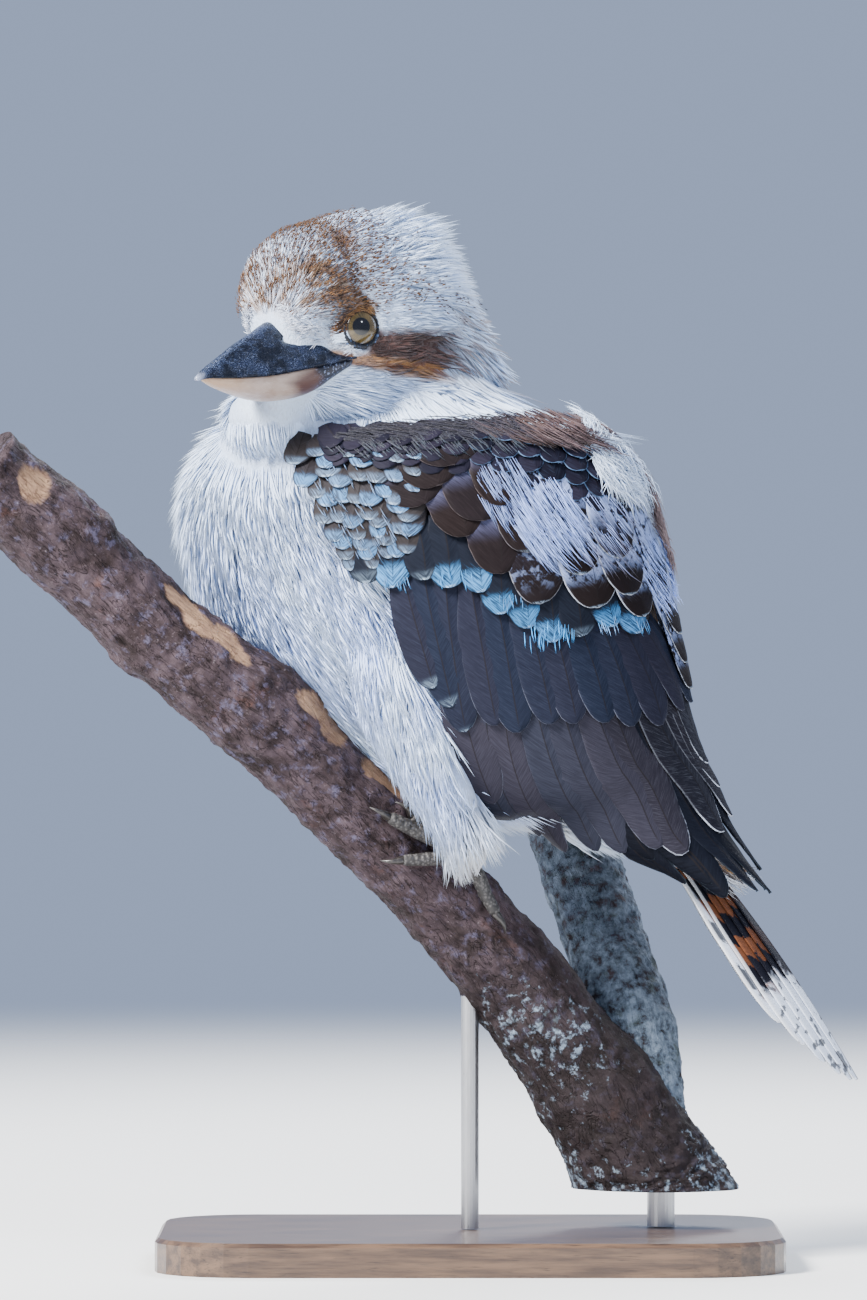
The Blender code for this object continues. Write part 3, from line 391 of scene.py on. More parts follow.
# %% Finish helpers
class Signal:
    """A socket that can be used in an expression."""

    def __init__(self, finish, socket):
        self.finish = finish
        self.socket = socket

    def maths(self, operation, *values):
        return self.finish.node("ShaderNodeMath", {"operation": operation}, dict(enumerate(values)))

    def __add__(self, other):
        return self.maths("ADD", self, other)

    def __mul__(self, other):
        return self.maths("MULTIPLY", self, other)

    def __sub__(self, other):
        return self.maths("SUBTRACT", self, other)

    def __rsub__(self, other):
        return self.maths("SUBTRACT", other, self)

    def power(self, other):
        return self.maths("POWER", self, other)

    def size(self):
        return self.maths("ABSOLUTE", self)

    def wave(self):
        return self.maths("SINE", self)

    def between(self, low, high):
        """0 below low, 1 above high, smooth between. It runs the other way where high is the smaller."""
        return self.finish.node("ShaderNodeMapRange", {"interpolation_type": "SMOOTHSTEP"},
                                {"Value": self, "From Min": min(low, high), "From Max": max(low, high),
                                 "To Min": float(low > high), "To Max": float(low < high)})


class Finish:
    """A Principled material that is being built."""

    def __init__(self, name, roughness=0.5, metallic=0.0, specular=0.5, sheen=0.0, coat=0.0):
        self.material = bpy.data.materials.new(name)
        self.material.use_nodes = True
        self.tree = self.material.node_tree
        self.shader = self.tree.nodes["Principled BSDF"]
        looks = {"Roughness": roughness, "Metallic": metallic, "Specular IOR Level": specular,
                 "Sheen Weight": sheen, "Coat Weight": coat}
        for socket, value in looks.items():
            self.shader.inputs[socket].default_value = value

    def node(self, kind, settings=None, inputs=None, output=0):
        """Adds a node: its settings first, then the value or the link of each socket."""
        made = self.tree.nodes.new(kind)
        for key, value in (settings or {}).items():
            setattr(made, key, value)
        for key, value in (inputs or {}).items():
            socket = made.inputs[key]
            if isinstance(value, Signal):
                self.tree.links.new(value.socket, socket)
            elif isinstance(value, (tuple, list)) and len(value) == 3 and socket.type == "RGBA":
                socket.default_value = (*value, 1)
            else:
                socket.default_value = value
        return Signal(self, made.outputs[output])

    def place(self):
        """Where a point lies in the object, in millimetres."""
        spot = self.node("ShaderNodeTexCoord", output="Object")
        return self.node("ShaderNodeVectorMath", {"operation": "SCALE"}, {0: spot, "Scale": 1 / MM})

    def kept(self, key, output="Color"):
        """A colour or vector kept on the mesh."""
        return self.node("ShaderNodeAttribute", {"attribute_name": key}, output=output)

    def parts(self, vector):
        split = self.node("ShaderNodeSeparateXYZ", inputs={0: vector})
        return [Signal(self, socket) for socket in split.socket.node.outputs]

    def stretched(self, vector, x, y, z):
        """The vector with each of its parts multiplied."""
        return self.node("ShaderNodeVectorMath", {"operation": "MULTIPLY"}, {0: vector, 1: (x, y, z)})

    def noise(self, vector, size, detail=3.0, roughness=0.5, distortion=0.0):
        return self.node("ShaderNodeTexNoise", inputs={"Vector": vector, "Scale": 1 / size, "Detail": detail,
                                                       "Roughness": roughness, "Distortion": distortion})

    def cells(self, vector, size):
        """How far a point lies from the middle of its cell."""
        return self.node("ShaderNodeTexVoronoi", None, {"Vector": vector, "Scale": 1 / size}, "Distance")

    def blend(self, a, b, share):
        """Colour a where share is 0 and b where it is 1."""
        return self.node("ShaderNodeMix", {"data_type": "RGBA"}, {0: share, 6: a, 7: b}, 2)

    def layered(self, colour, *layers):
        """The colour with layers over it, each given as its own colour and how much of it shows."""
        for over, share in layers:
            colour = self.blend(colour, over, share)
        return colour

    def bump(self, height, distance, strength=1.0):
        """Relief, with its greatest height in millimetres."""
        relief = {"Height": height, "Distance": distance * MM, "Strength": strength}
        made = self.node("ShaderNodeBump", inputs=relief)
        self.tree.links.new(made.socket, self.shader.inputs["Normal"])

    def set(self, **links):
        for key, value in links.items():
            self.tree.links.new(value.socket, self.shader.inputs[key.replace("_", " ").title()])


print("helpers ready")

# %% [markdown]
# ## The skin
# Under its feathers the bird is one smooth body, so one skin replaces every solid of flesh and no seam
# shows. It is bent from grids along the same rings, a few millimetres inside the plumage, then voxel
# remeshed into a single surface and relaxed so that the neck flows into the shoulders. The eye sockets
# are pressed in after.

# %% Skin shape
BODY_COAT = 4.2
CROWN_COAT = 6.6
FACE_COAT = 1.3
THIGH_COAT = 4.5
EYE_RADIUS = 8.0
EYE_AT = (-1.2, 17.7, -1.6)
EYE_TURN = math.radians(20)
SOCKET_RADIUS = 7.0
SOCKET_FLOOR = 4.0
VOXEL = 1.9
SMOOTH_ROUNDS = 10
THROAT_AT = np.array((-70.0, -22.0, 303.0))
THROAT_SIZE = np.array((17.0, 22.0, 12.5))
SIDES = {"left": 1, "right": -1}

eye_centres = {key: from_head(EYE_AT[0], side * EYE_AT[1], EYE_AT[2]) for key, side in SIDES.items()}
eye_axes = {
    key: unit(from_head(math.sin(EYE_TURN), side * math.cos(EYE_TURN), 0.0) - HEAD_AT)
    for key, side in SIDES.items()
}


def body_skin(a, b):
    t, angle = a * (len(BODY) - 1), b * TURN
    _, _, out = ring_slopes(BODY, t, angle)
    return ring_place(BODY, t, angle) - out * BODY_COAT * ramp(0, 0.05, np.minimum(a, 1 - a) + 0.01)[:, None]


def head_skin(a, b):
    row = a * (len(HEAD_RINGS) - 1)
    depth = FACE_COAT + (CROWN_COAT - FACE_COAT) * ramp(3.0, 6.5, row)
    return head_place(row, b * TURN, -depth)


def thigh_skin(table):
    def place(a, b):
        t = a * (len(table) - 1)
        return tube_place(table, t, b * TURN, -np.minimum(THIGH_COAT, 0.4 * smooth_rows(table, t)[:, 3]))
    return place


def throat_skin(a, b):
    """The loose plumage that bulges between the lower bill and the breast."""
    polar, turn = a * math.pi, b * TURN
    ball = np.stack((np.cos(polar), np.sin(polar) * np.cos(turn), np.sin(polar) * np.sin(turn)), axis=1)
    return THROAT_AT + ball * THROAT_SIZE


SKIN_LAYOUT = ((body_skin, 90, 64), (throat_skin, 24, 24), (head_skin, 60, 56),
               (thigh_skin(THIGH), 30, 24), (thigh_skin(FAR_THIGH), 24, 24))


def make_skin(material):
    skin = finish_object("skin", joined_shapes("skin", SKIN_LAYOUT), material)
    remesh = skin.modifiers.new("one surface", "REMESH")
    remesh.mode = "VOXEL"
    remesh.voxel_size = VOXEL * MM
    graph = bpy.context.evaluated_depsgraph_get()
    whole = bpy.data.meshes.new_from_object(skin.evaluated_get(graph))
    skin.modifiers.clear()
    skin.data = whole
    shaped = bmesh.new()
    shaped.from_mesh(whole)
    for _ in range(SMOOTH_ROUNDS):
        bmesh.ops.smooth_vert(shaped, verts=shaped.verts, factor=0.5, use_axis_x=True, use_axis_y=True,
                              use_axis_z=True)
    for key in SIDES:
        centre, axis = eye_centres[key], eye_axes[key]
        for vertex in shaped.verts:
            offset = np.array(vertex.co) / MM - centre
            deep = offset @ axis
            aside = np.linalg.norm(offset - deep * axis)
            if deep > SOCKET_FLOOR and aside < SOCKET_RADIUS:
                vertex.co -= Vector(axis * (deep - SOCKET_FLOOR)) * MM
    shaped.normal_update()
    bmesh.ops.triangulate(shaped, faces=shaped.faces)
    shaped.to_mesh(whole)
    shaped.free()
    whole.shade_smooth()
    return skin


skin_finish = Finish("plumage_skin", roughness=0.85, specular=0.2)
skin = make_skin(skin_finish.material)
skin_points = points_of(skin)
skin_triangles = np.array([face.vertices for face in skin.data.polygons])
print("skin:", len(skin_points), "points")

# %% [markdown]
# ## The lie of the plumage
# Feathers point away from the bill and down towards the tail and toes. Each ring table knows that
# direction at every point, so samples of all the tables go in a search tree, each skin point takes the
# nearest sample's direction, and a few rounds of averaging over the skin smooth the change from head to
# shoulder.

# %% Directions on the skin
corner_a, corner_b, corner_c = (skin_points[skin_triangles[:, k]] for k in range(3))
face_cross = np.cross(corner_b - corner_a, corner_c - corner_a)
face_area = np.linalg.norm(face_cross, axis=1) / 2
skin_normals = np.zeros_like(skin_points)
for k in range(3):
    np.add.at(skin_normals, skin_triangles[:, k], face_cross)
skin_normals = unit(skin_normals)
skin_links = np.concatenate([skin_triangles[:, [0, 1]], skin_triangles[:, [1, 2]], skin_triangles[:, [2, 0]]])


def relax(values, rounds):
    """Averages values over neighbouring skin points."""
    for _ in range(rounds):
        total, count = values.copy(), np.ones(len(values))
        np.add.at(total, skin_links[:, 0], values[skin_links[:, 1]])
        np.add.at(count, skin_links[:, 0], 1)
        values = total / count[:, None]
    return values


def chart_samples():
    """Points on the rings, the direction that plumage lies there, the region and its place on the unwrap."""
    spots, ways, regions, unwrap = [], [], [], []
    layouts = (
        (0, 60, 60, len(BODY) - 1, lambda t, a: ring_place(BODY, t, a), (0.02, 0.02, 0.55, 0.96)),
        (1, 46, 60, len(HEAD_RINGS) - 1, head_place, (0.60, 0.02, 0.38, 0.46)),
        (2, 24, 24, len(THIGH) - 1, lambda t, a: tube_place(THIGH, t, a), (0.60, 0.52, 0.18, 0.44)),
        (2, 24, 24, len(FAR_THIGH) - 1, lambda t, a: tube_place(FAR_THIGH, t, a), (0.80, 0.52, 0.18, 0.44)),
    )
    for region, rows, columns, last, place, (left, low, wide, high) in layouts:
        along, around = np.linspace(0.02, 0.98, rows), (np.arange(columns) + 0.5) / columns
        t, angle = (part.ravel() for part in np.meshgrid(along, around, indexing="ij"))
        spots.append(place(t * last, angle * TURN))
        ways.append(unit(place(t * last + 0.05, angle * TURN) - place(t * last - 0.05, angle * TURN)))
        regions.append(np.eye(3)[np.full(len(t), region)])
        unwrap.append(np.stack((left + wide * angle, low + high * t), axis=1))
    return [np.concatenate(part) for part in (spots, ways, regions, unwrap)]


sample_spots, sample_ways, sample_regions, sample_unwrap = chart_samples()
nearest = nearest_numbers(sample_spots, range(len(sample_spots)), skin_points + skin_normals * BODY_COAT)
skin_ways = relax(sample_ways[nearest], 12)
skin_ways = unit(skin_ways - skin_normals * np.sum(skin_ways * skin_normals, axis=1, keepdims=True))
skin_regions = relax(sample_regions[nearest], 4)
skin_unwrap = sample_unwrap[nearest]
print("lie of the plumage set at", len(nearest), "points")

# %% [markdown]
# ## The markings
# One function gives the colour at any point of the plumage, so the skin and the feathers on it always
# agree. On the head it works in the head's own frame: pale buff and brown flecks on the forehead, a
# rufous brow over the eye, a dark stripe behind it with a golden lower border, and clean white crown,
# cheek and ruff. On the body it is white below, faintly barred on the thighs, and reddish brown on the
# mantle. Each point has a base colour and a tip colour, because a feather is often darker at one end.

# %% Markings
WHITE = np.array((0.66, 0.79, 1.0))
CREAM = np.array((0.74, 0.70, 0.60))
SHADE_BLUE = np.array((0.40, 0.54, 0.94))
BUFF = np.array((0.46, 0.27, 0.115))
GOLD_BROWN = np.array((0.19, 0.085, 0.028))
RUFOUS = np.array((0.23, 0.085, 0.035))
DARK_BROWN = np.array((0.034, 0.019, 0.017))
MANTLE_BROWN = np.array((0.065, 0.035, 0.030))
NAVY_BROWN = np.array((0.013, 0.013, 0.024))
RUMP_GREY = np.array((0.30, 0.28, 0.28))
LINE_STEPS = np.linspace(0.0, len(BODY) - 1, 240)
LINE_ROWS = smooth_rows(BODY, LINE_STEPS)


def body_chart(points):
    """The ring number and the angle from the back that points fall on, either side alike."""
    bx, bz, vx, vz, _ = LINE_ROWS.T
    found_t, found_angle = [], []
    for part in np.array_split(points, max(1, len(points) // 8000)):
        x, z = part[:, :1], part[:, 2:]
        values = ((vx - bx) * (z - bz) - (vz - bz) * (x - bx)) / np.hypot(vx - bx, vz - bz)
        crossing = values[:, :-1] * values[:, 1:] <= 0
        first = np.where(crossing.any(axis=1), crossing.argmax(axis=1), np.abs(values[:, :-1]).argmin(axis=1))
        rows = LINE_ROWS[first]
        half = (rows[:, :2] - rows[:, 2:4]) / 2
        middle = (rows[:, :2] + rows[:, 2:4]) / 2
        share = np.sum((part[:, [0, 2]] - middle) * half, axis=1) / np.sum(half * half, axis=1)
        found_t.append(LINE_STEPS[first])
        found_angle.append(np.arctan2(np.abs(part[:, 1]) / rows[:, 4], share))
    return np.concatenate(found_t), np.concatenate(found_angle)


def spot_mask(f, u, at, size):
    """1 at a place in the head's side view, falling to 0 over this size."""
    return np.exp(-((f - at[0]) / size[0]) ** 2 - ((u - at[1]) / size[1]) ** 2)


def line_mask(f, u, start, end, half_width):
    """1 along a line in the head's side view, falling to 0 at its half width."""
    start, end = np.array(start, float), np.array(end, float)
    share = np.clip(((f - start[0]) * (end - start)[0] + (u - start[1]) * (end - start)[1])
                    / np.sum((end - start) ** 2), 0, 1)
    away = np.hypot(f - start[0] - share * (end - start)[0], u - start[1] - share * (end - start)[1])
    return ramp(1.25, 0.6, away / (half_width[0] + (half_width[1] - half_width[0]) * share))


def head_marks(points, luck):
    """Base and tip colours on the head. luck is each feather's own number from 0 to 1."""
    f, side, u = to_head(points).T
    out = np.abs(side)
    base = np.broadcast_to(WHITE, points.shape).copy()
    tip = base.copy()
    streak = drift(np.stack((f / 3, side, u), axis=1), 1.3, 3)
    patch = drift(points, 5.0, 7)

    fore = ramp(-14, -2, f + 5 * patch) * ramp(0, 8, u)
    flecked = (luck < 0.35 * fore) & (streak > -0.45)
    tip[flecked] = mix(GOLD_BROWN, DARK_BROWN, (luck[flecked] * 7) % 1 * 0.7)
    base = mix(base, BUFF, 0.12 * fore)
    speckled = (luck > 0.88) & (f > -40) & (u > 0)
    tip[speckled] = mix(tip[speckled], GOLD_BROWN, 0.6 * ramp(-40, -14, f[speckled]))

    buff_front = ramp(15, 22, f) * ramp(1, 6, u) * ramp(25, 14, u)
    base = mix(base, BUFF, 0.75 * buff_front * ramp(-0.5, 0.3, streak))
    tip = mix(tip, GOLD_BROWN, 0.5 * buff_front * ramp(0.1, 0.4, streak))

    tuft = spot_mask(f, out, (1.0, 12.5), (5.0, 4.0)) * ramp(20, 27, u)
    base = mix(base, RUFOUS, 0.85 * tuft)
    tip = mix(tip, RUFOUS, np.clip(1.2 * tuft, 0, 1))

    fan = spot_mask(f, u, (17.0, 9.0), (8.0, 10.0)) * ramp(5, 9, out) * ramp(-1, 2, u)
    golden = ramp(-0.25, 0.25, streak)
    base = mix(base, mix(BUFF, GOLD_BROWN, golden), 0.75 * fan * ramp(-0.45, 0.0, streak))
    tip = mix(tip, mix(GOLD_BROWN, DARK_BROWN, 0.4 * golden), 0.8 * fan * ramp(-0.2, 0.2, streak))
    brow = line_mask(f, u, (15.5, 16.5), (1.0, 5.0), (5.6, 5.2)) * ramp(4, 8, out)
    tufted = ramp(-0.65, -0.25, streak)
    base = mix(base, mix(BUFF, GOLD_BROWN, ramp(-0.3, 0.3, streak)), 0.92 * brow * tufted)
    tip = mix(tip, mix(GOLD_BROWN, DARK_BROWN, ramp(-0.1, 0.35, streak)), 0.92 * brow * tufted)
    hood = spot_mask(f, u, (7.0, 1.8), (5.0, 4.6)) * ramp(8, 13, out)
    base = mix(base, DARK_BROWN, np.clip(1.1 * hood, 0, 1))
    tip = mix(tip, mix(DARK_BROWN, GOLD_BROWN, ramp(0.0, 0.6, streak)), np.clip(1.1 * hood, 0, 1))

    top_edge = -2.4
    low_edge = -11.5 - 0.23 * np.clip(-f, 0, 48)
    inside = ramp(1.5, -1.5, u - top_edge - 2.2 * streak) * ramp(-2, 2, u - low_edge + 2.2 * streak)
    stripe = inside * ramp(1, -3, f) * ramp(-53, -38, f + 6 * streak) * ramp(8, 14, out)
    dark = mix(DARK_BROWN * 1.5, MANTLE_BROWN * 2.0, ramp(-0.3, 0.4, streak))
    base = mix(base, dark, stripe)
    tip = mix(tip, dark, stripe)

    border = line_mask(f, u, (8, -12.0), (-35, -18.0), (2.6, 3.0)) * ramp(10, 15, out)
    rusty = mix(BUFF * (1.0, 0.85, 0.7), RUFOUS, ramp(-0.2, 0.5, streak))
    base = mix(base, rusty, 0.95 * border)
    tip = mix(tip, mix(GOLD_BROWN * 1.3, DARK_BROWN, ramp(0.0, 0.6, streak)), 0.9 * border)

    below_eye = line_mask(f, u, (10, -3.5), (-7, -9.5), (1.8, 2.6)) * ramp(12, 16, out)
    base = mix(base, DARK_BROWN, 0.75 * below_eye * ramp(-0.3, 0.2, streak))
    tip = mix(tip, DARK_BROWN, 0.75 * below_eye * ramp(-0.3, 0.2, streak))

    ruff = ramp(-38, -52, f) * ramp(10, 0, u) * ramp(-36, -22, u)
    dark_barb = ruff * (luck % 0.31 < 0.13)
    tip = mix(tip, GOLD_BROWN, 0.75 * dark_barb)

    rear_line = ramp(-50, -62, f) * ramp(2, 10, u) * (luck % 0.23 < 0.05)
    tip = mix(tip, BUFF, 0.6 * rear_line)

    lore = line_mask(f, u, (21, -1.5), (9, -8.5), (2.4, 2.2)) * ramp(6, 10, out)
    dark_tip = (luck % 0.37 < 0.13) & (lore > 0.3)
    tip[dark_tip] = DARK_BROWN
    return base, tip


def body_marks(points, luck):
    """Base and tip colours on the neck, body and thighs."""
    t, angle = body_chart(points)
    base = np.broadcast_to(WHITE, points.shape).copy()
    tip = base.copy()
    streak = drift(points * (0.35, 1.0, 0.35), 1.5, 11)
    patch = drift(points, 14.0, 13)
    shaded = ramp(300, 235, points[:, 2]) * ramp(-0.7, 0.3, patch)
    base = mix(base, SHADE_BLUE * 0.85, 0.30 + 0.7 * shaded)
    tip = mix(tip, SHADE_BLUE, 0.50 * shaded)
    aside = ramp(0.2, 0.9, angle)
    back = ramp(1.62, 1.40, angle + 0.15 * patch) * ramp(0.55 + 0.8 * aside, 1.05 + 0.7 * aside, t)
    brown = mix(NAVY_BROWN * 1.4, mix(MANTLE_BROWN, GOLD_BROWN, ramp(-0.2, 0.6, streak)),
                0.15 + 0.85 * ramp(-10, 30, points[:, 0]))
    base = mix(base, brown, back)
    tip = mix(tip, mix(brown, BUFF, 0.55 * (luck % 0.29 < 0.10)), back)
    rump = ramp(5.0, 6.4, t) * ramp(1.2, 0.9, angle)
    base = mix(base, RUMP_GREY, 0.8 * rump)
    tip = mix(tip, mix(RUMP_GREY, DARK_BROWN, (luck % 0.4 < 0.2) * 0.8), rump)
    vent = ramp(7.2, 8.6, t) * ramp(1.3, 1.8, angle)
    base = mix(base, CREAM, 0.7 * vent)
    tip = mix(tip, CREAM, 0.6 * vent)
    bars = ramp(0.55, 0.85, np.sin(points[:, 2] / 2.1 + 2.2 * patch)) * ramp(215, 195, points[:, 2])
    bars = bars * ramp(2.4, 1.7, angle) * (luck < 0.5)
    base = mix(base, GOLD_BROWN, 0.30 * bars)
    return base, tip


def marks(points, headness, luck):
    """Base and tip colours anywhere on the plumage, 1 for headness on the head and 0 off it."""
    head_base, head_tip = head_marks(points, luck)
    body_base, body_tip = body_marks(points, luck)
    share = ramp(0.35, 0.65, headness)
    return mix(body_base, head_base, share), mix(body_tip, head_tip, share)


skin_base, skin_tip = marks(skin_points, skin_regions[:, 1], np.full(len(skin_points), 0.5))
store_colour(skin.data, "marking", mix(skin_base, skin_tip, 0.4) * 0.8)
spot = skin_finish.place()
skin_barbs = skin_finish.noise(skin_finish.stretched(spot, 1.0, 1.0, 0.35), 0.6, 4.0)
skin_finish.set(base_color=skin_finish.blend(skin_finish.kept("marking"), (0.30, 0.27, 0.27),
                                             skin_barbs.between(0.45, 0.75) * 0.25))
skin_finish.bump(skin_barbs, 0.8)
stands_for(skin, "white_plumage", "head", "neck", "torso", "thigh_left", "thigh_right")

# %% [markdown]
# ## Feathers as thin closed blades
# A small feather seen from a step away is a bundle of barbs. Each barb or slim feather here is a closed
# blade of three sides that tapers, rises a little off the skin, and bends back along it. Barbs that
# grow near one another lean towards a shared tip, which makes the points and partings of real plumage.
# All blades of a piece are worked out at once: a list of roots goes in, and one joined mesh comes out.

# %% Blades
BLADE_RINGS = ((0.0, 0.7), (0.6, 1.0))  # share of the length, share of the width
BLADE_THICK = 0.35
TUFT_PATCH = 0.003


def blade_faces():
    """The triangles of a blade: its root, its three sides and its point."""
    faces = [(0, 2, 1)]
    for a, b in ((0, 1), (1, 2), (2, 0)):
        faces += [(a, b, b + 3), (a, b + 3, a + 3)]
    return np.array(faces + [(3, 4, 6), (4, 5, 6), (5, 3, 6)])


def make_blades(name, roots, ways, outs, lengths, widths, rise, droop, sway, base, tip, unwrap, tip_from=0.5):
    """A joined mesh of blades. Ways and outs are unit vectors. Rise, droop and sway are shares of length."""
    count = len(roots)
    ways = unit(ways - outs * np.sum(ways * outs, axis=1, keepdims=True))
    asides = np.cross(outs, ways)
    lengths, widths = lengths[:, None], widths[:, None]
    rise, droop, sway = (np.broadcast_to(v, (count,))[:, None] for v in (rise, droop, sway))
    points, colours = np.zeros((count, 7, 3)), np.zeros((count, 7, 3))
    for i, (share, wide) in enumerate(BLADE_RINGS):
        middle = (roots + ways * lengths * share
                  + outs * lengths * (rise * share - droop * share**2) + asides * lengths * sway * share**2)
        half = asides * widths * wide / 2
        points[:, 3 * i] = middle - half
        points[:, 3 * i + 1] = middle + half
        points[:, 3 * i + 2] = middle + outs * widths * wide * BLADE_THICK
        tipped = np.broadcast_to(ramp(tip_from - 0.35, tip_from + 0.3, share), (count,))
        colours[:, 3 * i:3 * i + 3] = mix(base, tip, tipped)[:, None]
    points[:, -1] = roots + ways * lengths + outs * lengths * (rise - droop) + asides * lengths * sway
    colours[:, -1] = tip
    triangles = (blade_faces()[None] + (np.arange(count) * 7)[:, None, None]).reshape(-1, 3)
    corner = np.array([(j / 2 - 0.5, i / 2 - 0.5) for i in range(2) for j in range(3)] + [(0, 0.5)])
    uv = (unwrap[:, None] + corner[None] * TUFT_PATCH).reshape(-1, 2)
    return mesh_from_arrays(name, feather_finish.material, points.reshape(-1, 3), triangles, uv,
                            {"marking": colours.reshape(-1, 3)})


# %% Where the blades grow
FIRST_OF = 3.0


def scatter(cell, wanted):
    """Even spots on the skin, one for each cell where wanted(points) allows it."""
    area = face_area * (wanted(skin_points[skin_triangles].mean(axis=1)) > 0)
    count = int(FIRST_OF * area.sum() / cell**2)
    picked = chance.choice(len(area), count, p=area / area.sum())
    r, s = np.sqrt(chance.random(count)), chance.random(count)
    weights = np.stack((1 - r, r * (1 - s), r * s), axis=1)
    corners = skin_triangles[picked]
    points = np.einsum("nk,nkd->nd", weights, skin_points[corners])
    keep = one_per_cell(points, cell)
    keep = keep[wanted(points[keep]) > chance.random(len(keep))]
    corners, weights = corners[keep], weights[keep]

    def spread(values):
        return np.einsum("nk,nkd->nd", weights, values[corners])

    return {
        "roots": points[keep],
        "outs": unit(spread(skin_normals)),
        "ways": unit(spread(skin_ways)),
        "head": spread(skin_regions)[:, 1],
        "thigh": spread(skin_regions)[:, 2],
        "unwrap": skin_unwrap[corners[:, 0]],
        "luck": chance.random(len(keep)),
    }


def gather(found, size, pull, wander):
    """Turns each blade's way towards the tip of the bundle that it belongs to."""
    roots, ways = found["roots"], found["ways"]
    order = chance.permutation(len(roots))
    heads = order[one_per_cell(roots[order], size)]
    owner = nearest_numbers(roots, heads, roots)
    noise = chance.normal(size=(len(roots), 3))
    lead = unit(ways[owner] + wander * noise[owner])
    aim = roots[owner] + lead * size * 2.2 - roots
    found["ways"] = unit(unit(ways + lead) * (1 - pull) + unit(aim) * pull + 0.06 * noise)
    found["own"] = np.clip(noise[:, 0], -1.7, 1.7)
    return found


print("blade:", len(blade_faces()), "triangles")

# %% [markdown]
# ## The small feathers of the head
# The face carries the smallest feathers: short, dense and flat round the bill and the eye. They
# lengthen over the crown, and at the back of the head they stand up in a shaggy crest. Two pieces share
# the work, because the face needs a finer scatter than the crown. A place near the eyes or under the
# bill grows nothing.

# %% Plumage finish
feather_finish = Finish("small_feathers", roughness=0.8, specular=0.12, sheen=0.08)
spot = feather_finish.place()
barb_tone = feather_finish.noise(spot, 0.5, 2.0)
feather_finish.set(base_color=feather_finish.blend(feather_finish.kept("marking"), (0.42, 0.40, 0.42),
                                                   barb_tone.between(0.5, 0.9) * 0.16))

# %% Face and crown
EYE_CLEAR = 7.3
FACE_CELL, CROWN_CELL = 0.58, 0.86    # how far apart the feathers stand
FACE_WIDTH, CROWN_WIDTH = 0.42, 0.52  # how wide they are
FACE_ENDS = -6.0
COLLAR = -36.0
NAPE_END = -76.0
BILL_UPPER = np.array([(3, -9.6, -12.6, 22.6), (8, -6, -13.4, 20.4), (13, 1.2, -14.4, 17.6),
                       (24, 0.8, -16.6, 13.6), (33, -3.6, -18.2, 11), (42, -8, -19.2, 8.2),
                       (51, -13.2, -19.6, 5.4), (57.5, -17, -19.8, 3), (61.4, -19.8, -20.8, 0.7)], float)
BILL_LOWER = np.array([(4, -13.2, -18, 21.4), (8, -13.9, -22, 19.4), (13, -14.9, -26, 16.6),
                       (24, -17.4, -27.8, 12.8), (33, -19.0, -27.6, 10.2), (42, -19.9, -26.0, 7.4),
                       (51, -20.3, -23.8, 4.4), (56.5, -20.4, -22.0, 2), (58.5, -20.5, -21.2, 0.6)], float)


def eye_distance(points):
    """How far points lie from the nearer eye's axis."""
    away = []
    for key in SIDES:
        offset = points - eye_centres[key]
        deep = offset @ eye_axes[key]
        aside = np.linalg.norm(offset - deep[:, None] * eye_axes[key], axis=1)
        away.append(np.where(deep > 0, aside, 99.0))
    return np.minimum(*away)


BARE_OVER = ((3, 8, 11.5, 17, 22, 24.5, 26), (-12.0, -9.9, -8.5, -6.5, -4.0, -1.0, 3.0))
BARE_UNDER = ((3, 5, 8, 12, 16), (-12.5, -14.0, -18.0, -24.0, -40.0))


def near_bill(points):
    """1 where the bill covers the head."""
    f, side, u = to_head(points).T
    top, mouth, w = (np.interp(f, BILL_UPPER[:, 0], BILL_UPPER[:, k]) for k in (1, 2, 3))
    in_upper = np.abs(side / w) ** 2.6 + (np.maximum(u - mouth, 0) / (top - mouth)) ** 2.6 < 1.0
    gape, keel, w = (np.interp(f, BILL_LOWER[:, 0], BILL_LOWER[:, k]) for k in (1, 2, 3))
    in_lower = (side / w) ** 2 + (np.maximum(gape - u, 0) / (gape - keel)) ** 2 < 0.92
    inside = (f > 3) & ((in_upper & (u > mouth)) | (in_lower & (u <= mouth)))
    bare = (f > 3) & (u < np.interp(f, *BARE_OVER)) & (u > np.interp(f, *BARE_UNDER))
    return inside | bare


def face_share(points):
    """1 in front of the eyes, 0 behind them."""
    f, _, u = to_head(points).T
    return ramp(FACE_ENDS - 4, FACE_ENDS + 2, f + 0.15 * u)


def on_head(points):
    """1 on the head, 0 under its collar."""
    f, _, u = to_head(points).T
    return ((u > COLLAR) & (f > NAPE_END)).astype(float)


def clear_of_eye(points):
    return on_head(points) * (eye_distance(points) > EYE_CLEAR)


def grow_face(points):
    return clear_of_eye(points) * (face_share(points) > 0.5) * ~near_bill(points)


def grow_crown(points):
    return clear_of_eye(points) * (face_share(points) <= 0.5)


def head_lengths(points):
    """How long the head's feathers are at points."""
    f, _, u = to_head(points).T
    length = 3.4 + 3.6 * ramp(14, -12, f) + 5.0 * ramp(-12, -44, f)
    length = length + 3.0 * ramp(-8, -40, f) * ramp(12, 30, u)
    length = length + 4.0 * ramp(-14, -30, u) * ramp(16, 2, f) + 7.5 * ramp(-17, -27, u)
    length = length + 2.6 * ramp(4, 10, f) * ramp(-2, 6, u) - 3.5 * ramp(-30, -55, f) * ramp(0, 16, u)
    length = length + 6.0 * ramp(-34, -56, f) * ramp(2, -10, u)
    wave = np.exp(-((f + 11) / 5.5) ** 2) - 0.9 * np.exp(-((f + 22.5) / 3.5) ** 2)
    wave = wave + np.exp(-((f + 31) / 5) ** 2)
    length = length * (1 + (0.42 * wave - 0.25 * np.exp(-((f - 2) / 4) ** 2)) * ramp(24, 33, u))
    return length * (0.45 + 0.55 * ramp(EYE_CLEAR, EYE_CLEAR + 9, eye_distance(points)))


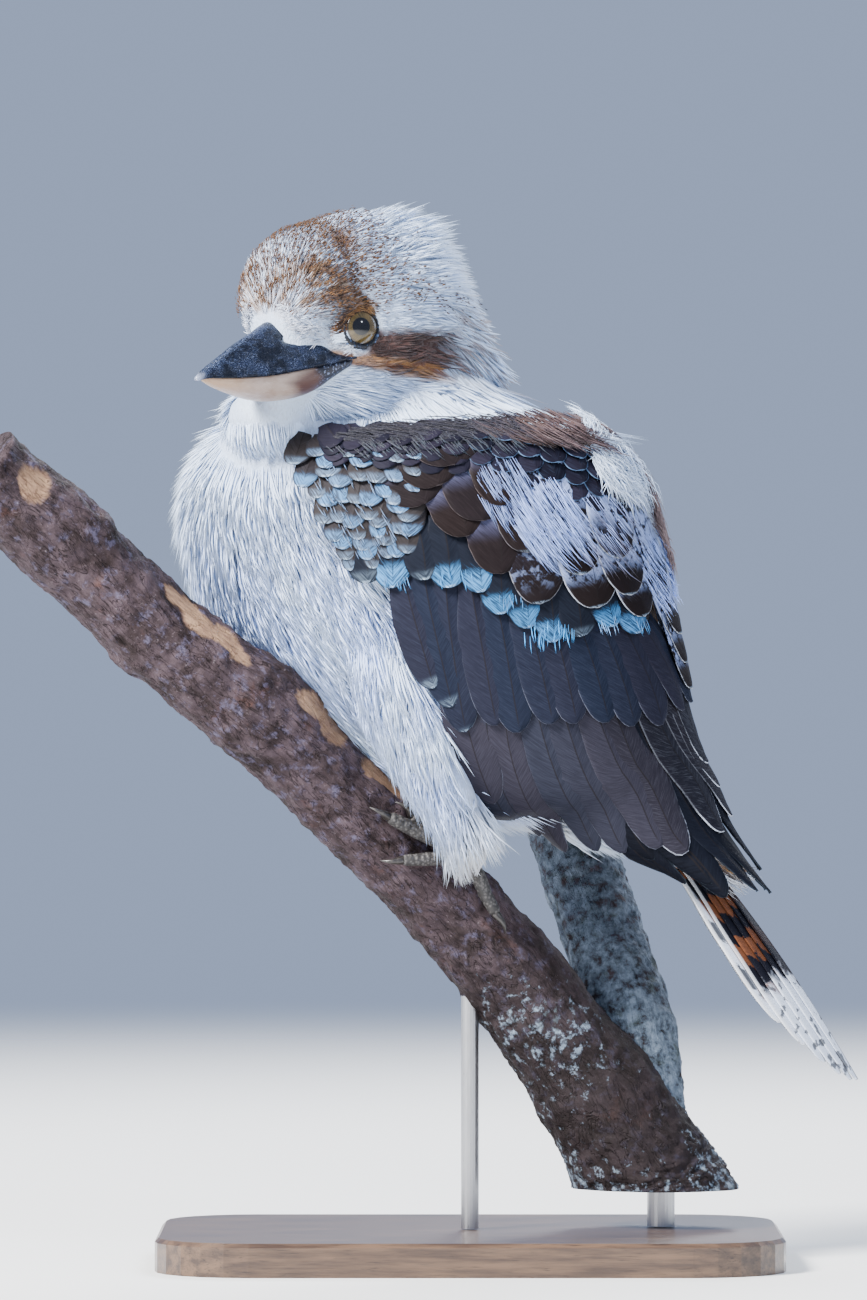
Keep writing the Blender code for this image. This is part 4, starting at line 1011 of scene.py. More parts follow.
THROAT_FRONT = ((275, 283, 297, 301, 308, 313, 322), (-114, -110, -100, -96, -98, -94, -82))
THROAT_SPAN = (276, 322)
CUT_SHORT = 0.35
THROAT_HANG = np.array((0.12, 0.0, -1.0))


def kept_short(roots, ways, outs, lengths, rise):
    """Blades whose tips would stand out in front of the throat are cut short."""
    tips = roots + (ways + outs * rise[:, None]) * lengths[:, None]
    limit = np.interp(tips[:, 2], *THROAT_FRONT)
    proud = (tips[:, 0] < limit) & (tips[:, 2] > THROAT_SPAN[0]) & (tips[:, 2] < THROAT_SPAN[1])
    return np.where(proud, CUT_SHORT * lengths, lengths)


def hang_down(roots, ways, outs):
    """Blades on the loose throat hang, whatever the lie of the nearest chart says."""
    away = np.linalg.norm((roots - THROAT_AT) / THROAT_SIZE, axis=1)
    on_throat = ramp(1.45, 1.15, away)
    down = unit(THROAT_HANG - outs * (outs @ THROAT_HANG)[:, None])
    return unit(ways * (1 - on_throat[:, None]) + down * on_throat[:, None]), on_throat


def make_head_feathers(name, found, width):
    roots, luck, own = found["roots"], found["luck"], found["own"]
    found["ways"], on_throat = hang_down(roots, found["ways"], found["outs"])
    f, _, u = to_head(roots).T
    lengths = np.minimum(head_lengths(roots), 40 - 30 * on_throat) * (1 + 0.16 * own)
    along = found["ways"] * lengths[:, None]
    base, _ = marks(roots + 0.35 * along, np.ones(len(roots)), luck)
    _, tip = marks(roots + 0.85 * along, np.ones(len(roots)), luck)
    crest = ramp(-4, -30, f) * ramp(4, 18, u)
    fore = ramp(-18, -4, f) * ramp(-2, 8, u)
    front = ramp(10, 24, f) * ramp(0, 12, u)
    throat = ramp(-17, -27, u)
    rise = 0.18 + 0.44 * crest + 0.34 * front + (0.22 * throat + 0.08 * own) * (1 - on_throat)
    lengths = kept_short(roots, found["ways"], found["outs"], lengths, rise)
    piece = make_blades(name, roots - found["outs"] * 0.4, found["ways"], found["outs"],
                        lengths, width * (1 + 0.2 * own) * (0.75 + 0.03 * lengths), rise, 0.10 + 0.06 * crest,
                        0.05 * own, base, tip, found["unwrap"], tip_from=0.5 + 0.32 * fore)
    stands_for(piece, "crown_plumage")


face = scatter(FACE_CELL, grow_face)
crown = gather(scatter(CROWN_CELL, grow_crown), 5.4, 0.5, 0.20)
face = gather(face, 2.2, 0.25, 0.10)
make_head_feathers("face_feathers", face, FACE_WIDTH)
crown_left = to_head(crown["roots"])[:, 1] > 0
for name, chosen in (("crown_feathers_left", crown_left), ("crown_feathers_right", ~crown_left)):
    make_head_feathers(name, {key: values[chosen] for key, values in crown.items()}, CROWN_WIDTH)

# %% [markdown]
# The forehead and the front of the crown carry rows of fine brown specks, each the dark tip of a
# feather. They are short dark blades that lie on the coat in wavy rows across it.

# %% Specks
FLECK_ROWS = 2.3
FLECK_COUNT = 7500


def make_flecks():
    wanted = ("roots", "ways", "outs", "unwrap", "own")
    both = [np.concatenate((face[key], crown[key])) for key in wanted]
    f, side, u = to_head(both[0]).T
    where = ramp(-16, 4, f + 5 * drift(both[0], 6.0, 51)) * ramp(1, 7, u) * (0.18 + 0.82 * ramp(-2, 9, f))
    where = where * (1 - 0.85 * spot_mask(f, u, (4.0, 8.0), (9.0, 8.0)))
    rear = 0.05 * ramp(-62, -30, f) * ramp(3, 10, u)
    rows = np.sin((f + 2.2 * drift(both[0], 4.0, 52) + 0.35 * np.abs(side)) * TURN / FLECK_ROWS)
    chances = np.maximum(where * ramp(-0.1, 0.6, rows), rear) + 1e-9
    chosen = chance.choice(len(chances), FLECK_COUNT, replace=False, p=chances / chances.sum())
    roots, ways, outs, unwrap, own = (values[chosen] for values in both)
    length = head_lengths(roots)
    over = 0.95 + 0.13 * length + 1.3 * ramp(4, 14, f[chosen])
    places = roots + ways * (0.62 * length)[:, None] + outs * over[:, None]
    tone = mix(GOLD_BROWN * 0.8, DARK_BROWN, chance.random(FLECK_COUNT))
    piece = make_blades("forehead_flecks", places, ways, outs, 1.15 * (1 + 0.25 * own),
                        0.38 * (1 + 0.2 * own), 0.28, 0.05, 0.2 * own, tone, tone * 0.8, unwrap)
    stands_for(piece, "crown_plumage")


make_flecks()

# %% [markdown]
# Bristles stand along the edge of the bill, from over its ridge to its corner. They point forwards over
# the horn, and break the line where it meets the feathers.

# %% Bristles
BRISTLE_COUNT = 1500
BRISTLE_LINE = ((27.5, 5.0), (25.5, 1.5), (24.0, -2.0), (20.5, -5.0), (15.0, -7.2), (9.0, -9.6), (4.0, -11.8))


def make_bristles():
    share = chance.random(BRISTLE_COUNT)
    line = np.array(BRISTLE_LINE)
    steps = np.linspace(0, 1, len(line))
    f, u = (np.interp(share, steps, line[:, k]) for k in (0, 1))
    f, u = f - 4.2 * chance.random(BRISTLE_COUNT), u + 4.5 * chance.random(BRISTLE_COUNT)
    side = np.where(chance.random(BRISTLE_COUNT) < 0.5, 1.0, -1.0)
    aims = from_head(f, side * (9.0 + 0.62 * (26.0 - f)), u)
    found = nearest_numbers(skin_points, range(len(skin_points)), aims)
    outs = skin_normals[found]
    roots = aims + outs * np.sum((skin_points[found] - aims) * outs, axis=1)[:, None]
    ahead = unit(from_head(f + 4.0, side * 6.0, u + 0.6) - from_head(f, side * 6.0, u))
    own = chance.normal(size=BRISTLE_COUNT).clip(-1.6, 1.6)
    ways = unit(ahead + 0.30 * chance.normal(size=(BRISTLE_COUNT, 3)))
    dark = chance.random(BRISTLE_COUNT) < 0.12
    base = mix(WHITE, BUFF, 0.5 * chance.random(BRISTLE_COUNT))
    tip = np.where(dark[:, None], DARK_BROWN, mix(WHITE, BUFF, 0.25))
    piece = make_blades("bill_bristles", roots - outs * 0.4, ways, outs,
                        (2.4 + 1.6 * share * (1 - share) * 4) * (1 + 0.25 * own), 0.26 * (1 + 0.2 * own),
                        0.34 + 0.10 * own, 0.10, 0.15 * own, base, tip,
                        np.stack((0.3 + 0.3 * share, 0.5 + 0.2 * side), axis=1))
    stands_for(piece, "crown_plumage")


make_bristles()

# %% [markdown]
# ## The soft plumage of the body
# Breast, belly and flanks are loose and white, with long barbs that part and cross. The thigh is a
# fluffy trouser that ends in a point over the branch. The mantle is brown and lies flatter. Nothing
# grows where the folded wings cover the body, which saves many thousands of blades that nobody would
# see.

# %% Body feathers
WING_EDGE = [(-50, 295), (-60, 278), (-53, 261), (-44, 250), (-28, 237), (-9, 218), (3, 196), (15, 178),
             (38, 160), (60, 156), (80, 156)]
WING_UPPER_ANGLE = math.radians(20)
CORE_REAR = 9.3
CORE_FRONT = 1.6
wide_steps = np.linspace(0.2, len(WING_RINGS) - 1, 500)
wide_rows = smooth_rows(WING_RINGS, wide_steps)


def place_on_wing(x, z):
    """The ring number and angle on the wings' rings that a side-view point falls on."""
    bx, bz, vx, vz, _ = wide_rows.T
    values = ((vx - bx) * (z - bz) - (vz - bz) * (x - bx)) / np.hypot(vx - bx, vz - bz)
    crossings = np.nonzero(values[:-1] * values[1:] <= 0)[0]
    i = int(crossings[0]) if len(crossings) else int(np.argmin(np.abs(values[:-1])))
    share = float(np.clip(values[i] / (values[i] - values[i + 1]), 0, 1))
    t = wide_steps[i] + (wide_steps[i + 1] - wide_steps[i]) * share
    bx, bz, vx, vz, _ = smooth_rows(WING_RINGS, t)
    hx, hz = (bx - vx) / 2, (bz - vz) / 2
    share = ((x - (bx + vx) / 2) * hx + (z - (bz + vz) / 2) * hz) / (hx * hx + hz * hz)
    return np.array((t, math.acos(max(-0.999, min(0.999, share)))))


wing_edge_chart = np.array(sorted(tuple(place_on_wing(*p)) for p in WING_EDGE))


def under_wing(points, margin):
    """1 where the folded wing covers the body by more than the margin, in ring numbers and radians."""
    t, angle = body_chart(points)
    low = np.interp(t, wing_edge_chart[:, 0], wing_edge_chart[:, 1])
    return ((angle > WING_UPPER_ANGLE + margin) & (angle < low - margin)
            & (t > CORE_FRONT + 3 * margin) & (t < CORE_REAR))


def grow_body(points):
    head = on_head(points) * (to_head(points)[:, 2] > -33)
    return (1 - head) * ~under_wing(points, 0.14)


BODY_CELL = 1.0
BODY_WIDTH = 0.66
LEG_ENDS = 141.0
body_found = gather(scatter(BODY_CELL, grow_body), 6.5, 0.24, 0.20)


def make_body_feathers(name, found, chosen, slot):
    part = {key: values[chosen] for key, values in found.items()}
    roots, luck, own = part["roots"], part["luck"], part["own"]
    t, angle = body_chart(roots)
    base, tip = marks(roots, part["head"], luck)
    belly = ramp(1.2, 2.1, angle)
    lengths = (11.5 + 4.5 * belly + 2.0 * part["thigh"]) * (1 + 0.22 * own)
    room = np.maximum(1.15 * (roots[:, 2] - LEG_ENDS - 0.9 * np.maximum(roots[:, 0] + 6, 0)), 0) + 2.5
    lengths = np.where(part["thigh"] > 0.3, np.minimum(lengths, room), lengths)
    low_throat = ramp(2.6, 1.2, t) * ramp(1.3, 2.1, angle)
    part["ways"] = unit(part["ways"] + part["thigh"][:, None] * (-0.45, 0.0, -0.35)
                        + low_throat[:, None] * (0.15, 0.0, -0.9))
    part["ways"], on_throat = hang_down(roots, part["ways"], part["outs"])
    lengths = lengths * (0.75 + 0.25 * ramp(0.0, 1.5, t)) * (1 - 0.3 * on_throat)
    vent = ramp(7.0, 8.0, t) * ramp(1.8, 2.4, angle)
    width = BODY_WIDTH * (1 + 0.25 * own)
    rise = 0.12 + 0.14 * belly * (1 - np.maximum(low_throat, on_throat)) + 0.10 * luck + 0.12 * vent
    by_wing = ((roots[:, 0] > -10) & under_wing(roots, -0.30)).astype(float)
    rise = rise * (1 - 0.8 * by_wing)
    lengths = kept_short(roots, part["ways"], part["outs"], lengths * (1 - 0.45 * by_wing), rise)
    shade = 0.93 + 0.07 * ramp(-0.4, 0.4, drift(roots, 6.0, 31))
    piece = make_blades(name, roots - part["outs"] * 0.6, part["ways"], part["outs"],
                        lengths, width, rise, 0.10, 0.10 * own, base * shade[:, None] * 0.96, tip,
                        part["unwrap"], tip_from=0.4)
    stands_for(piece, slot)


left_side = body_found["roots"][:, 1] < 0
breast = body_found["roots"][:, 0] + 0.5 * (body_found["roots"][:, 2] - 230) < -62
thigh_part = body_found["thigh"] > 0.5
for name, chosen in (
    ("breast_feathers_left", left_side & breast & ~thigh_part),
    ("breast_feathers_right", ~left_side & breast & ~thigh_part),
    ("back_feathers_left", left_side & ~breast & ~thigh_part),
    ("back_feathers_right", ~left_side & ~breast & ~thigh_part),
    ("leg_feathers", thigh_part),
):
    make_body_feathers(name, body_found, chosen, "white_plumage")

# %% [markdown]
# ## Eyes
# The eye sits in its socket as a ball, glossy like a wet stone. A dark round pupil looks forward, the
# iris is olive gold with a darker rim, and a clear layer over both gives the sharp highlight. The iris
# pattern is drawn by the distance from the eye's own axis, kept on the mesh as a value, so it can't
# slide. The lids are a ring of small dark scales, thicker below.

# %% Eyes
IRIS_RADIUS = 6.3
PUPIL_RADIUS = 3.15
GAZE_TURN = math.radians(30)
GAZE_UP = 0.05
EYE_RINGS = 40
EYE_SIDES = 64
CORNEA = 0.35


def eye_frame(key):
    """The eye's axis, and the ways ahead and up that lie across it."""
    axis = eye_axes[key]
    ahead = unit(from_head(1.0, 0.0, 0.0) - HEAD_AT)
    ahead = unit(ahead - (ahead @ axis) * axis)
    up = np.cross(axis, ahead)
    return axis, ahead, up if up[2] > 0 else -up


def eye_ball(key):
    axis = eye_axes[key]
    first = unit(np.cross(axis, (0.0, 0.0, 1.0)))
    second = np.cross(axis, first)

    def place(a, b):
        polar, turn = a * math.pi, b * TURN
        bulge = EYE_RADIUS + CORNEA * ramp(0.9, 0.2, polar)
        aside = (EYE_RADIUS * np.sin(polar))[:, None] * swung(turn, first, second)
        return eye_centres[key] + (bulge * np.cos(polar))[:, None] * axis + aside
    return place


eye_finish = Finish("eye", roughness=0.15, specular=0.25, coat=0.8)
eye_finish.shader.inputs["Coat Roughness"].default_value = 0.02
reach = eye_finish.kept("reach", "Fac")
pupil = eye_finish.kept("pupil", "Fac")
turn = eye_finish.kept("turn", "Vector")
fibres = eye_finish.noise(eye_finish.stretched(turn, 14.0, 14.0, 14.0), 1.0, 4.0, 0.6)
eye_finish.set(base_color=eye_finish.layered(
    (0.045, 0.030, 0.009),
    ((0.13, 0.085, 0.028), fibres.between(0.3, 0.7)),
    ((0.030, 0.026, 0.012), pupil.between(PUPIL_RADIUS + 1.6, PUPIL_RADIUS - 0.2) * 0.6),
    ((0.012, 0.012, 0.016), reach.between(IRIS_RADIUS - 1.2, IRIS_RADIUS - 0.35)),
    ((0.003, 0.003, 0.004), pupil.between(PUPIL_RADIUS + 0.12, PUPIL_RADIUS - 0.12)),
))
for key in SIDES:
    eyeball = bent_piece(f"eyeball_{key}", eye_finish.material, EYE_RINGS, EYE_SIDES, eye_ball(key))
    offset = points_of(eyeball) - eye_centres[key]
    aside = offset - (offset @ eye_axes[key])[:, None] * eye_axes[key]
    away = np.linalg.norm(aside, axis=1)
    away = np.where(offset @ eye_axes[key] > 0, away, EYE_RADIUS)
    gaze = unit(from_head(math.sin(GAZE_TURN), SIDES[key] * math.cos(GAZE_TURN), GAZE_UP) - HEAD_AT)
    from_gaze = np.linalg.norm(offset - (offset @ gaze)[:, None] * gaze, axis=1)
    for label, values in (("reach", away), ("pupil", np.where(offset @ gaze > 0, from_gaze, EYE_RADIUS))):
        store_values(eyeball.data, label, values, "FLOAT")
    store_values(eyeball.data, "turn", unit(aside))
    stands_for(eyeball, "eye_brown", f"eye_{key}")

# %% Lids
LID_RADIUS = 6.55
LID_AT = 4.7


def lid_ring(key):
    axis, ahead, up = eye_frame(key)

    def place(a, b):
        around, section = a * TURN, b * TURN
        below = ramp(0.3, -0.8, np.sin(around))
        beads = 0.10 * np.sin(around * 34) + 0.07 * np.sin(around * 21 + 1)
        wide = 0.65 + 0.75 * below + beads
        thick = 0.65 + 0.35 * below + beads
        out = LID_RADIUS + wide * (0.45 + np.cos(section) * 0.85)
        high = LID_AT + thick * np.sin(section) - 0.50 * np.maximum(np.cos(section), 0) * wide
        squeeze = 1 - 0.04 * np.abs(np.sin(around)) - 0.07 * np.maximum(np.sin(around), 0)
        spots = (np.cos(around) * out)[:, None] * ahead + (np.sin(around) * out * squeeze)[:, None] * up
        return eye_centres[key] + spots + high[:, None] * axis
    return place


lid_finish = Finish("eye_ring", roughness=0.4, specular=0.5)
spot = lid_finish.place()
lid_cells = lid_finish.cells(spot, 0.55)
# The pale blue flecks on the dark lids are painted glints.
lid_finish.set(base_color=lid_finish.blend((0.006, 0.007, 0.012), (0.10, 0.17, 0.34),
                                           lid_finish.noise(spot, 1.1, 3.0).between(0.56, 0.70)))
lid_finish.bump(lid_cells, 0.25)
for key in SIDES:
    stands_for(bent_piece(f"eye_lids_{key}", lid_finish.material, 96, 16, lid_ring(key)), "crown_plumage")

# %% Brows
BROW_COUNT = 1000
BROW_FROM, BROW_TO = math.radians(-30), math.radians(112)


def make_brow(key):
    """Feathers rooted above and in front of the eye that hang over its lid."""
    axis, ahead, up = eye_frame(key)
    turn = BROW_FROM + (BROW_TO - BROW_FROM) * chance.random(BROW_COUNT)
    reach = 7.2 + (5.5 - 3.4 * ramp(0.9, 1.6, turn)) * chance.random(BROW_COUNT)
    level = LID_AT + 0.5 - 0.16 * (reach - 7.5)
    way_in = swung(turn, ahead, up)
    roots = eye_centres[key] + way_in * reach[:, None] + level[:, None] * axis
    inward = ramp(0.2, 0.9, np.sin(turn)) * ramp(10.5, 8.0, reach)
    ways = unit(-0.55 * inward[:, None] * way_in - 0.9 * ahead + 0.25 * (1 - inward)[:, None] * up
                + 0.16 * chance.normal(size=(BROW_COUNT, 3)))
    own = chance.normal(size=BROW_COUNT)
    golden = ramp(-0.3, 0.9, drift(roots, 1.6, 41) + 0.35 * own + 0.3 * ramp(9, 12, reach))
    tone = mix(DARK_BROWN * 0.6, GOLD_BROWN * 0.8, golden)
    tip = mix(tone, BUFF * 0.7, 0.6 * (own > 1.1))
    paler = (chance.random(BROW_COUNT) < 0.35 * ramp(9.5, 13, reach)) | (np.sin(turn) < -0.25)
    tone, tip = mix(tone, WHITE, 0.9 * paler), mix(tip, WHITE, 0.9 * paler)
    unwrap = np.stack((0.62 + 0.3 * turn / math.pi, 0.03 + 0.05 * (reach - 7.6)), axis=1)
    piece = make_blades(f"brow_{key}", roots, ways, np.tile(axis, (BROW_COUNT, 1)),
                        4.4 + 0.8 * own, 0.27 * (1 + 0.1 * own), 0.20, 0.16, 0.1 * own, tone, tip, unwrap)
    stands_for(piece, "crown_plumage")


for key in SIDES:
    make_brow(key)

# %% [markdown]
# ## The bill
# The bill is a deep, broad wedge: the upper half blue black and worn, with fine bright scratches, the
# lower half pinkish horn with a dark patch at its base. Each half is a grid bent along the bill's own
# rings. The upper section is a rounded ridge over a flat mouth line, the lower one a round keel. Small
# moves of the surface add the nostril's groove and the overhanging edge. The head's own frame is kept
# on the mesh as a vector, so the scratches can follow the bill's length.

# %% Bill shape
NOSTRIL_LINE = ((19.5, 10.6), (23.0, 9.4), (26.5, 8.2))
NOSTRIL_UP = -6.3


def upper_bill(a, b):
    rows = smooth_rows(BILL_UPPER, a * (len(BILL_UPPER) - 1))
    f, top, mouth, w = rows.T
    turn = b * TURN
    up = np.cos(turn)
    crown = np.maximum(up, 0) ** 0.9
    sideways = w * np.sin(turn) * (1 - 0.40 * np.maximum(up, 0))
    height = mouth + (top - mouth) * crown
    hang = 0.7 * ramp(0.25, 0.0, np.abs(up)) * ramp(3, 12, f)
    height = height - hang
    hollow = 0.8 * np.exp(-(up / 0.35) ** 2) * (up < 0) * ramp(60, 40, f)
    height = height + hollow
    line_f = np.array([p[0] for p in NOSTRIL_LINE])
    line_side = np.interp(f, line_f, [p[1] for p in NOSTRIL_LINE])
    slit = np.exp(-((height - NOSTRIL_UP) / 1.0) ** 2) * ramp(18.5, 20.5, f) * ramp(27.0, 24.5, f) * (up > 0)
    press = np.clip((np.abs(sideways) - line_side + 2.6) * slit, 0, 2.4)
    sideways = sideways - np.sign(sideways) * press
    return from_head(f, sideways, height)


def lower_bill(a, b):
    rows = smooth_rows(BILL_LOWER, a * (len(BILL_LOWER) - 1))
    f, top, bottom, w = rows.T
    turn = b * TURN
    down = np.maximum(-np.cos(turn), 0)
    height = top - (top - bottom) * down**0.8
    return from_head(f, w * np.sin(turn), height)


def keep_head_place(piece):
    """Keeps each point's place in the head's frame, in millimetres, for the finish to follow."""
    store_values(piece.data, "head_place", to_head(points_of(piece)))


# %% Bill finishes
dark_horn = Finish("dark_horn", specular=0.25, coat=0.1)
spot = dark_horn.kept("head_place", "Vector")
f, sideways, up = dark_horn.parts(spot)
clouds = dark_horn.noise(spot, 6.0, 4.0, 0.6)
fine = dark_horn.noise(dark_horn.stretched(spot, 0.5, 1.2, 1.2), 0.45, 3.0, 0.6)
scratches = dark_horn.noise(dark_horn.stretched(spot, 0.5, 1.7, 1.2), 0.42, 3.0, 0.75, 1.6)
ridge = sideways.size().between(3.4, 0.6) * up.between(-21.0, -16.0)
marks_mask = (scratches + ridge * 0.07).between(0.585, 0.66) * (clouds + ridge * 0.1).between(0.40, 0.58)
slit_along = f.between(19.0, 20.8) * f.between(26.2, 24.2)
slit_up = (up - NOSTRIL_UP + (f - 23.0) * 0.12).size().between(1.15, 0.75)
colour = dark_horn.layered(
    (0.0025, 0.0035, 0.008),
    ((0.007, 0.012, 0.032), clouds.between(0.38, 0.68)),
    ((0.26, 0.36, 0.66), marks_mask * 0.7),
    ((0.42, 0.48, 0.66), (f + clouds * 6).between(61.5, 65) * 0.6),
    ((0.0015, 0.0015, 0.002), slit_along * slit_up * sideways.size().between(5.0, 7.0)),
)
dark_horn.set(base_color=colour, roughness=(marks_mask * 0.3 + fine * 0.25 + 0.17))
dark_horn.bump(fine * 0.5 + marks_mask * -0.6 + clouds * 0.4, 0.35)

pale_horn = Finish("pale_horn", specular=0.45, coat=0.1)
spot = pale_horn.kept("head_place", "Vector")
f, sideways, up = pale_horn.parts(spot)
clouds = pale_horn.noise(spot, 7.0, 4.0, 0.6)
fibres = pale_horn.noise(pale_horn.stretched(spot, 0.2, 1.0, 1.0), 0.7, 3.0, 0.6)
patch_edge = f + clouds * 7 - (up + 20) * 0.55
wedge = (f + (up + 21.5).size() * 1.6 + clouds * 5).between(33.0, 24.0)
speckles = pale_horn.noise(spot, 0.8, 3.0, 0.6)
dark_base = pale_horn.blend((0.008, 0.009, 0.018), (0.16, 0.20, 0.34), speckles.between(0.55, 0.66))
colour = pale_horn.layered(
    (0.36, 0.275, 0.23),
    ((0.25, 0.165, 0.12), clouds.between(0.4, 0.75)),
    ((0.50, 0.42, 0.37), fibres.between(0.5, 0.8) * 0.5),
    ((0.42, 0.25, 0.13), f.between(36.0, 54.0) * 0.6),
    ((0.075, 0.035, 0.028), wedge),
    (dark_base, patch_edge.between(19.5, 15.5)),
)
pale_horn.set(base_color=colour, roughness=fibres * 0.2 + 0.28)
pale_horn.bump(fibres, 0.2)
for name, place, finish, slot, replaced in (
    ("upper_bill", upper_bill, dark_horn, "bill_black", "bill_upper"),
    ("lower_bill", lower_bill, pale_horn, "bill_horn", "bill_lower"),
):
    piece = bent_piece(name, finish.material, 110, 96, place)
    keep_head_place(piece)
    stands_for(piece, slot, replaced)

# %% [markdown]
# ## Wing feathers
# A folded wing is tiles on tiles: long dark primaries and secondaries below, three tiers of coverts
# over their roots, and big soft scapulars from the shoulder over all of them. Every vane lies on the
# wing's own rings, so it hugs the body from any side. A tier is a few side-view lines: where its
# feathers start and where they end, from front to rear. A vane is a grid with a raised shaft down its
# middle and thin closed edges, and it leans so that its front edge lies over its neighbour.

# %% Wing surface
SURFACE_SLACK = 1.2
UPPERMOST = math.radians(14)
VANE_COLUMNS = np.array((-1.0, -0.86, -0.6, -0.3, -0.07, 0.0, 0.07, 0.3, 0.6, 0.86, 1.0))
VANE_STATIONS = 18
VANE_THICK = 0.28
VANE_LEAN = 0.42
VANE_CAMBER = 0.55
VANE_SHAFT = 0.34


def core_depth(t, angle):
    """The wing's depth over the body under its feathers."""
    low = np.interp(t, wing_edge_chart[:, 0], wing_edge_chart[:, 1])
    down = np.clip((angle - WING_UPPER_ANGLE) / (low - WING_UPPER_ANGLE), 0, 1)
    along = np.clip((t - CORE_FRONT) / (CORE_REAR - CORE_FRONT), 0, 1)
    rim = (np.minimum(1, 4 * down * (1 - down) + 0.05) * np.minimum(1, 5 * along + 0.15)
           * np.minimum(1, 3 * (1 - along) + 0.12))
    return 1.0 + (6.4 - 3.6 * along) * rim


def wing_place(t, angle, out, side):
    """A point that stands out from the wing's surface."""
    _, _, outward = ring_slopes(WING_RINGS, t, angle, side)
    depth = SURFACE_SLACK + core_depth(t, angle) + out
    return ring_place(WING_RINGS, t, angle, side) + outward * depth[..., None]


def along_line(points, share):
    """The point at a share of a line's length."""
    points = np.asarray(points, float)
    lengths = np.concatenate(([0], np.cumsum(np.linalg.norm(np.diff(points, axis=0), axis=1))))
    return np.array([np.interp(share * lengths[-1], lengths, points[:, k]) for k in range(points.shape[1])])


def between_lines(first, second, share):
    """A line part of the way from one side-view line to another, as five points."""
    steps = np.linspace(0, 1, 5)
    return [tuple(along_line(first, s) * (1 - share) + along_line(second, s) * share) for s in steps]


def vane_outline(stations, pointed):
    """How wide a vane is along its length: round where pointed is 0, slim where it is 1."""
    shoulder = 0.60 - 0.15 * pointed
    end = np.clip((stations - shoulder) / (1 - shoulder), 0, 1)
    start = 0.50 + 0.50 * ramp(0.0, 0.45, stations)
    return start * np.sqrt(np.maximum(1 - end ** (2.4 - 0.9 * pointed), 0)) + 0.02


def grid_faces(rows, columns):
    """The triangles of a closed plate between an upper and a lower grid."""
    half = rows * columns
    faces = []
    for i in range(rows - 1):
        for j in range(columns - 1):
            a, b = i * columns + j, i * columns + j + 1
            c, d = a + columns, b + columns
            faces += [(a, b, d), (a, d, c), (half + a, half + d, half + b), (half + a, half + c, half + d)]
    rim = list(range(columns)) + [i * columns + columns - 1 for i in range(1, rows)]
    rim += [(rows - 1) * columns + j for j in range(columns - 2, -1, -1)]
    rim += [i * columns for i in range(rows - 2, 0, -1)]
    for a, b in zip(rim, rim[1:] + rim[:1]):
        faces += [(b, a, half + a), (b, half + a, half + b)]
    return np.array(faces)


def cell_unwrap(count, rows, columns):
    """An unwrap with a cell for each vane, its upper face in one half of it and its lower in the other."""
    across = math.ceil(math.sqrt(count * 2))
    down = math.ceil(count / across)
    index = np.arange(count)
    left, low = (index % across) / across, (index // across) / down
    u = np.linspace(0.05, 0.45, columns) / across
    v = np.linspace(0.04, 0.96, rows) / down
    upper = np.stack(np.meshgrid(v, u, indexing="ij")[::-1], axis=-1).reshape(1, -1, 2)
    lower = upper + (0.5 / across, 0)
    return np.concatenate((upper, lower), axis=1) + np.stack((left, low), axis=1)[:, None]


def vane_mesh(name, material, upper, lower, colours, vectors, flip):
    """Vanes from their upper and lower grids, shaped (count, rows, columns, 3)."""
    count, rows, columns, _ = upper.shape
    faces = grid_faces(rows, columns)
    if flip:
        faces = faces[:, ::-1]
    points = np.concatenate((upper.reshape(count, -1, 3), lower.reshape(count, -1, 3)), axis=1)
    each = points.shape[1]
    triangles = (faces[None] + (np.arange(count) * each)[:, None, None]).reshape(-1, 3)
    uv = cell_unwrap(count, rows, columns).reshape(-1, 2)
    spread = {key: np.repeat(values, each, axis=0) for key, values in colours.items()}
    grids = {key: np.concatenate((values.reshape(count, -1, 3),) * 2, axis=1).reshape(-1, 3)
             for key, values in vectors.items()}
    return mesh_from_arrays(name, material, points.reshape(-1, 3), triangles, uv, spread, grids)


# %% [markdown]
# ## The tiers of the wing
# The table follows the photograph: how many feathers, their half width, how far the tips lift, how
# pointed they are, and the lines of roots and tips. The colour of each feather comes from its tier and
# from where its tip lies, because the bright blue fringes show only where coverts peep out between the
# scapulars.

# %% Tiers
SLATE = np.array((0.017, 0.021, 0.034))
SLATE_BROWN = np.array((0.027, 0.024, 0.034))
BLACK_BROWN = np.array((0.006, 0.007, 0.012))
WARM_BROWN = np.array((0.032, 0.022, 0.022))
DULL_BROWN = np.array((0.040, 0.034, 0.034))
AZURE = np.array((0.045, 0.29, 0.66))
PALE_BLUE = np.array((0.22, 0.38, 0.66))
GREY_BLUE = np.array((0.085, 0.115, 0.155))
PALE_EDGE = np.array((0.11, 0.12, 0.16))
WHITE_EDGE = np.array((0.56, 0.60, 0.70))

PRIMARY_ROOTS = [(40, 190), (61, 202)]
PRIMARY_TIPS = [(66, 148), (72, 142), (88, 137), (104, 130), (110, 139)]
SECONDARY_ROOTS = [(-7, 224), (32, 231), (61, 224)]
SECONDARY_TIPS = [(10, 169), (24, 158), (39, 150), (61, 152), (72, 149), (83, 150), (93, 157), (94, 168),
                  (91, 181)]
GREATER_ROOTS = [(-25, 253), (32, 242), (61, 231)]
GREATER_TIPS = [(-12, 208), (0, 193), (11, 194), (23, 193), (35, 196), (47, 194), (64, 193), (80, 203)]
MEDIAN_ROOTS = [(-38, 268), (4, 267), (47, 249)]
MEDIAN_TIPS = [(-36, 243), (-24, 243), (-10, 244), (2, 240), (16, 229), (28, 222), (44, 227), (56, 226)]
LESSER_TIPS_TOP = [(-60, 286), (-44, 284), (-20, 284)]
LESSER_TIPS_LOW = [(-44, 250), (-32, 250), (-22, 254)]
SCAPULAR_ROOTS_LOW = [(-29, 292), (-7, 289), (22, 281), (47, 274), (65, 253)]
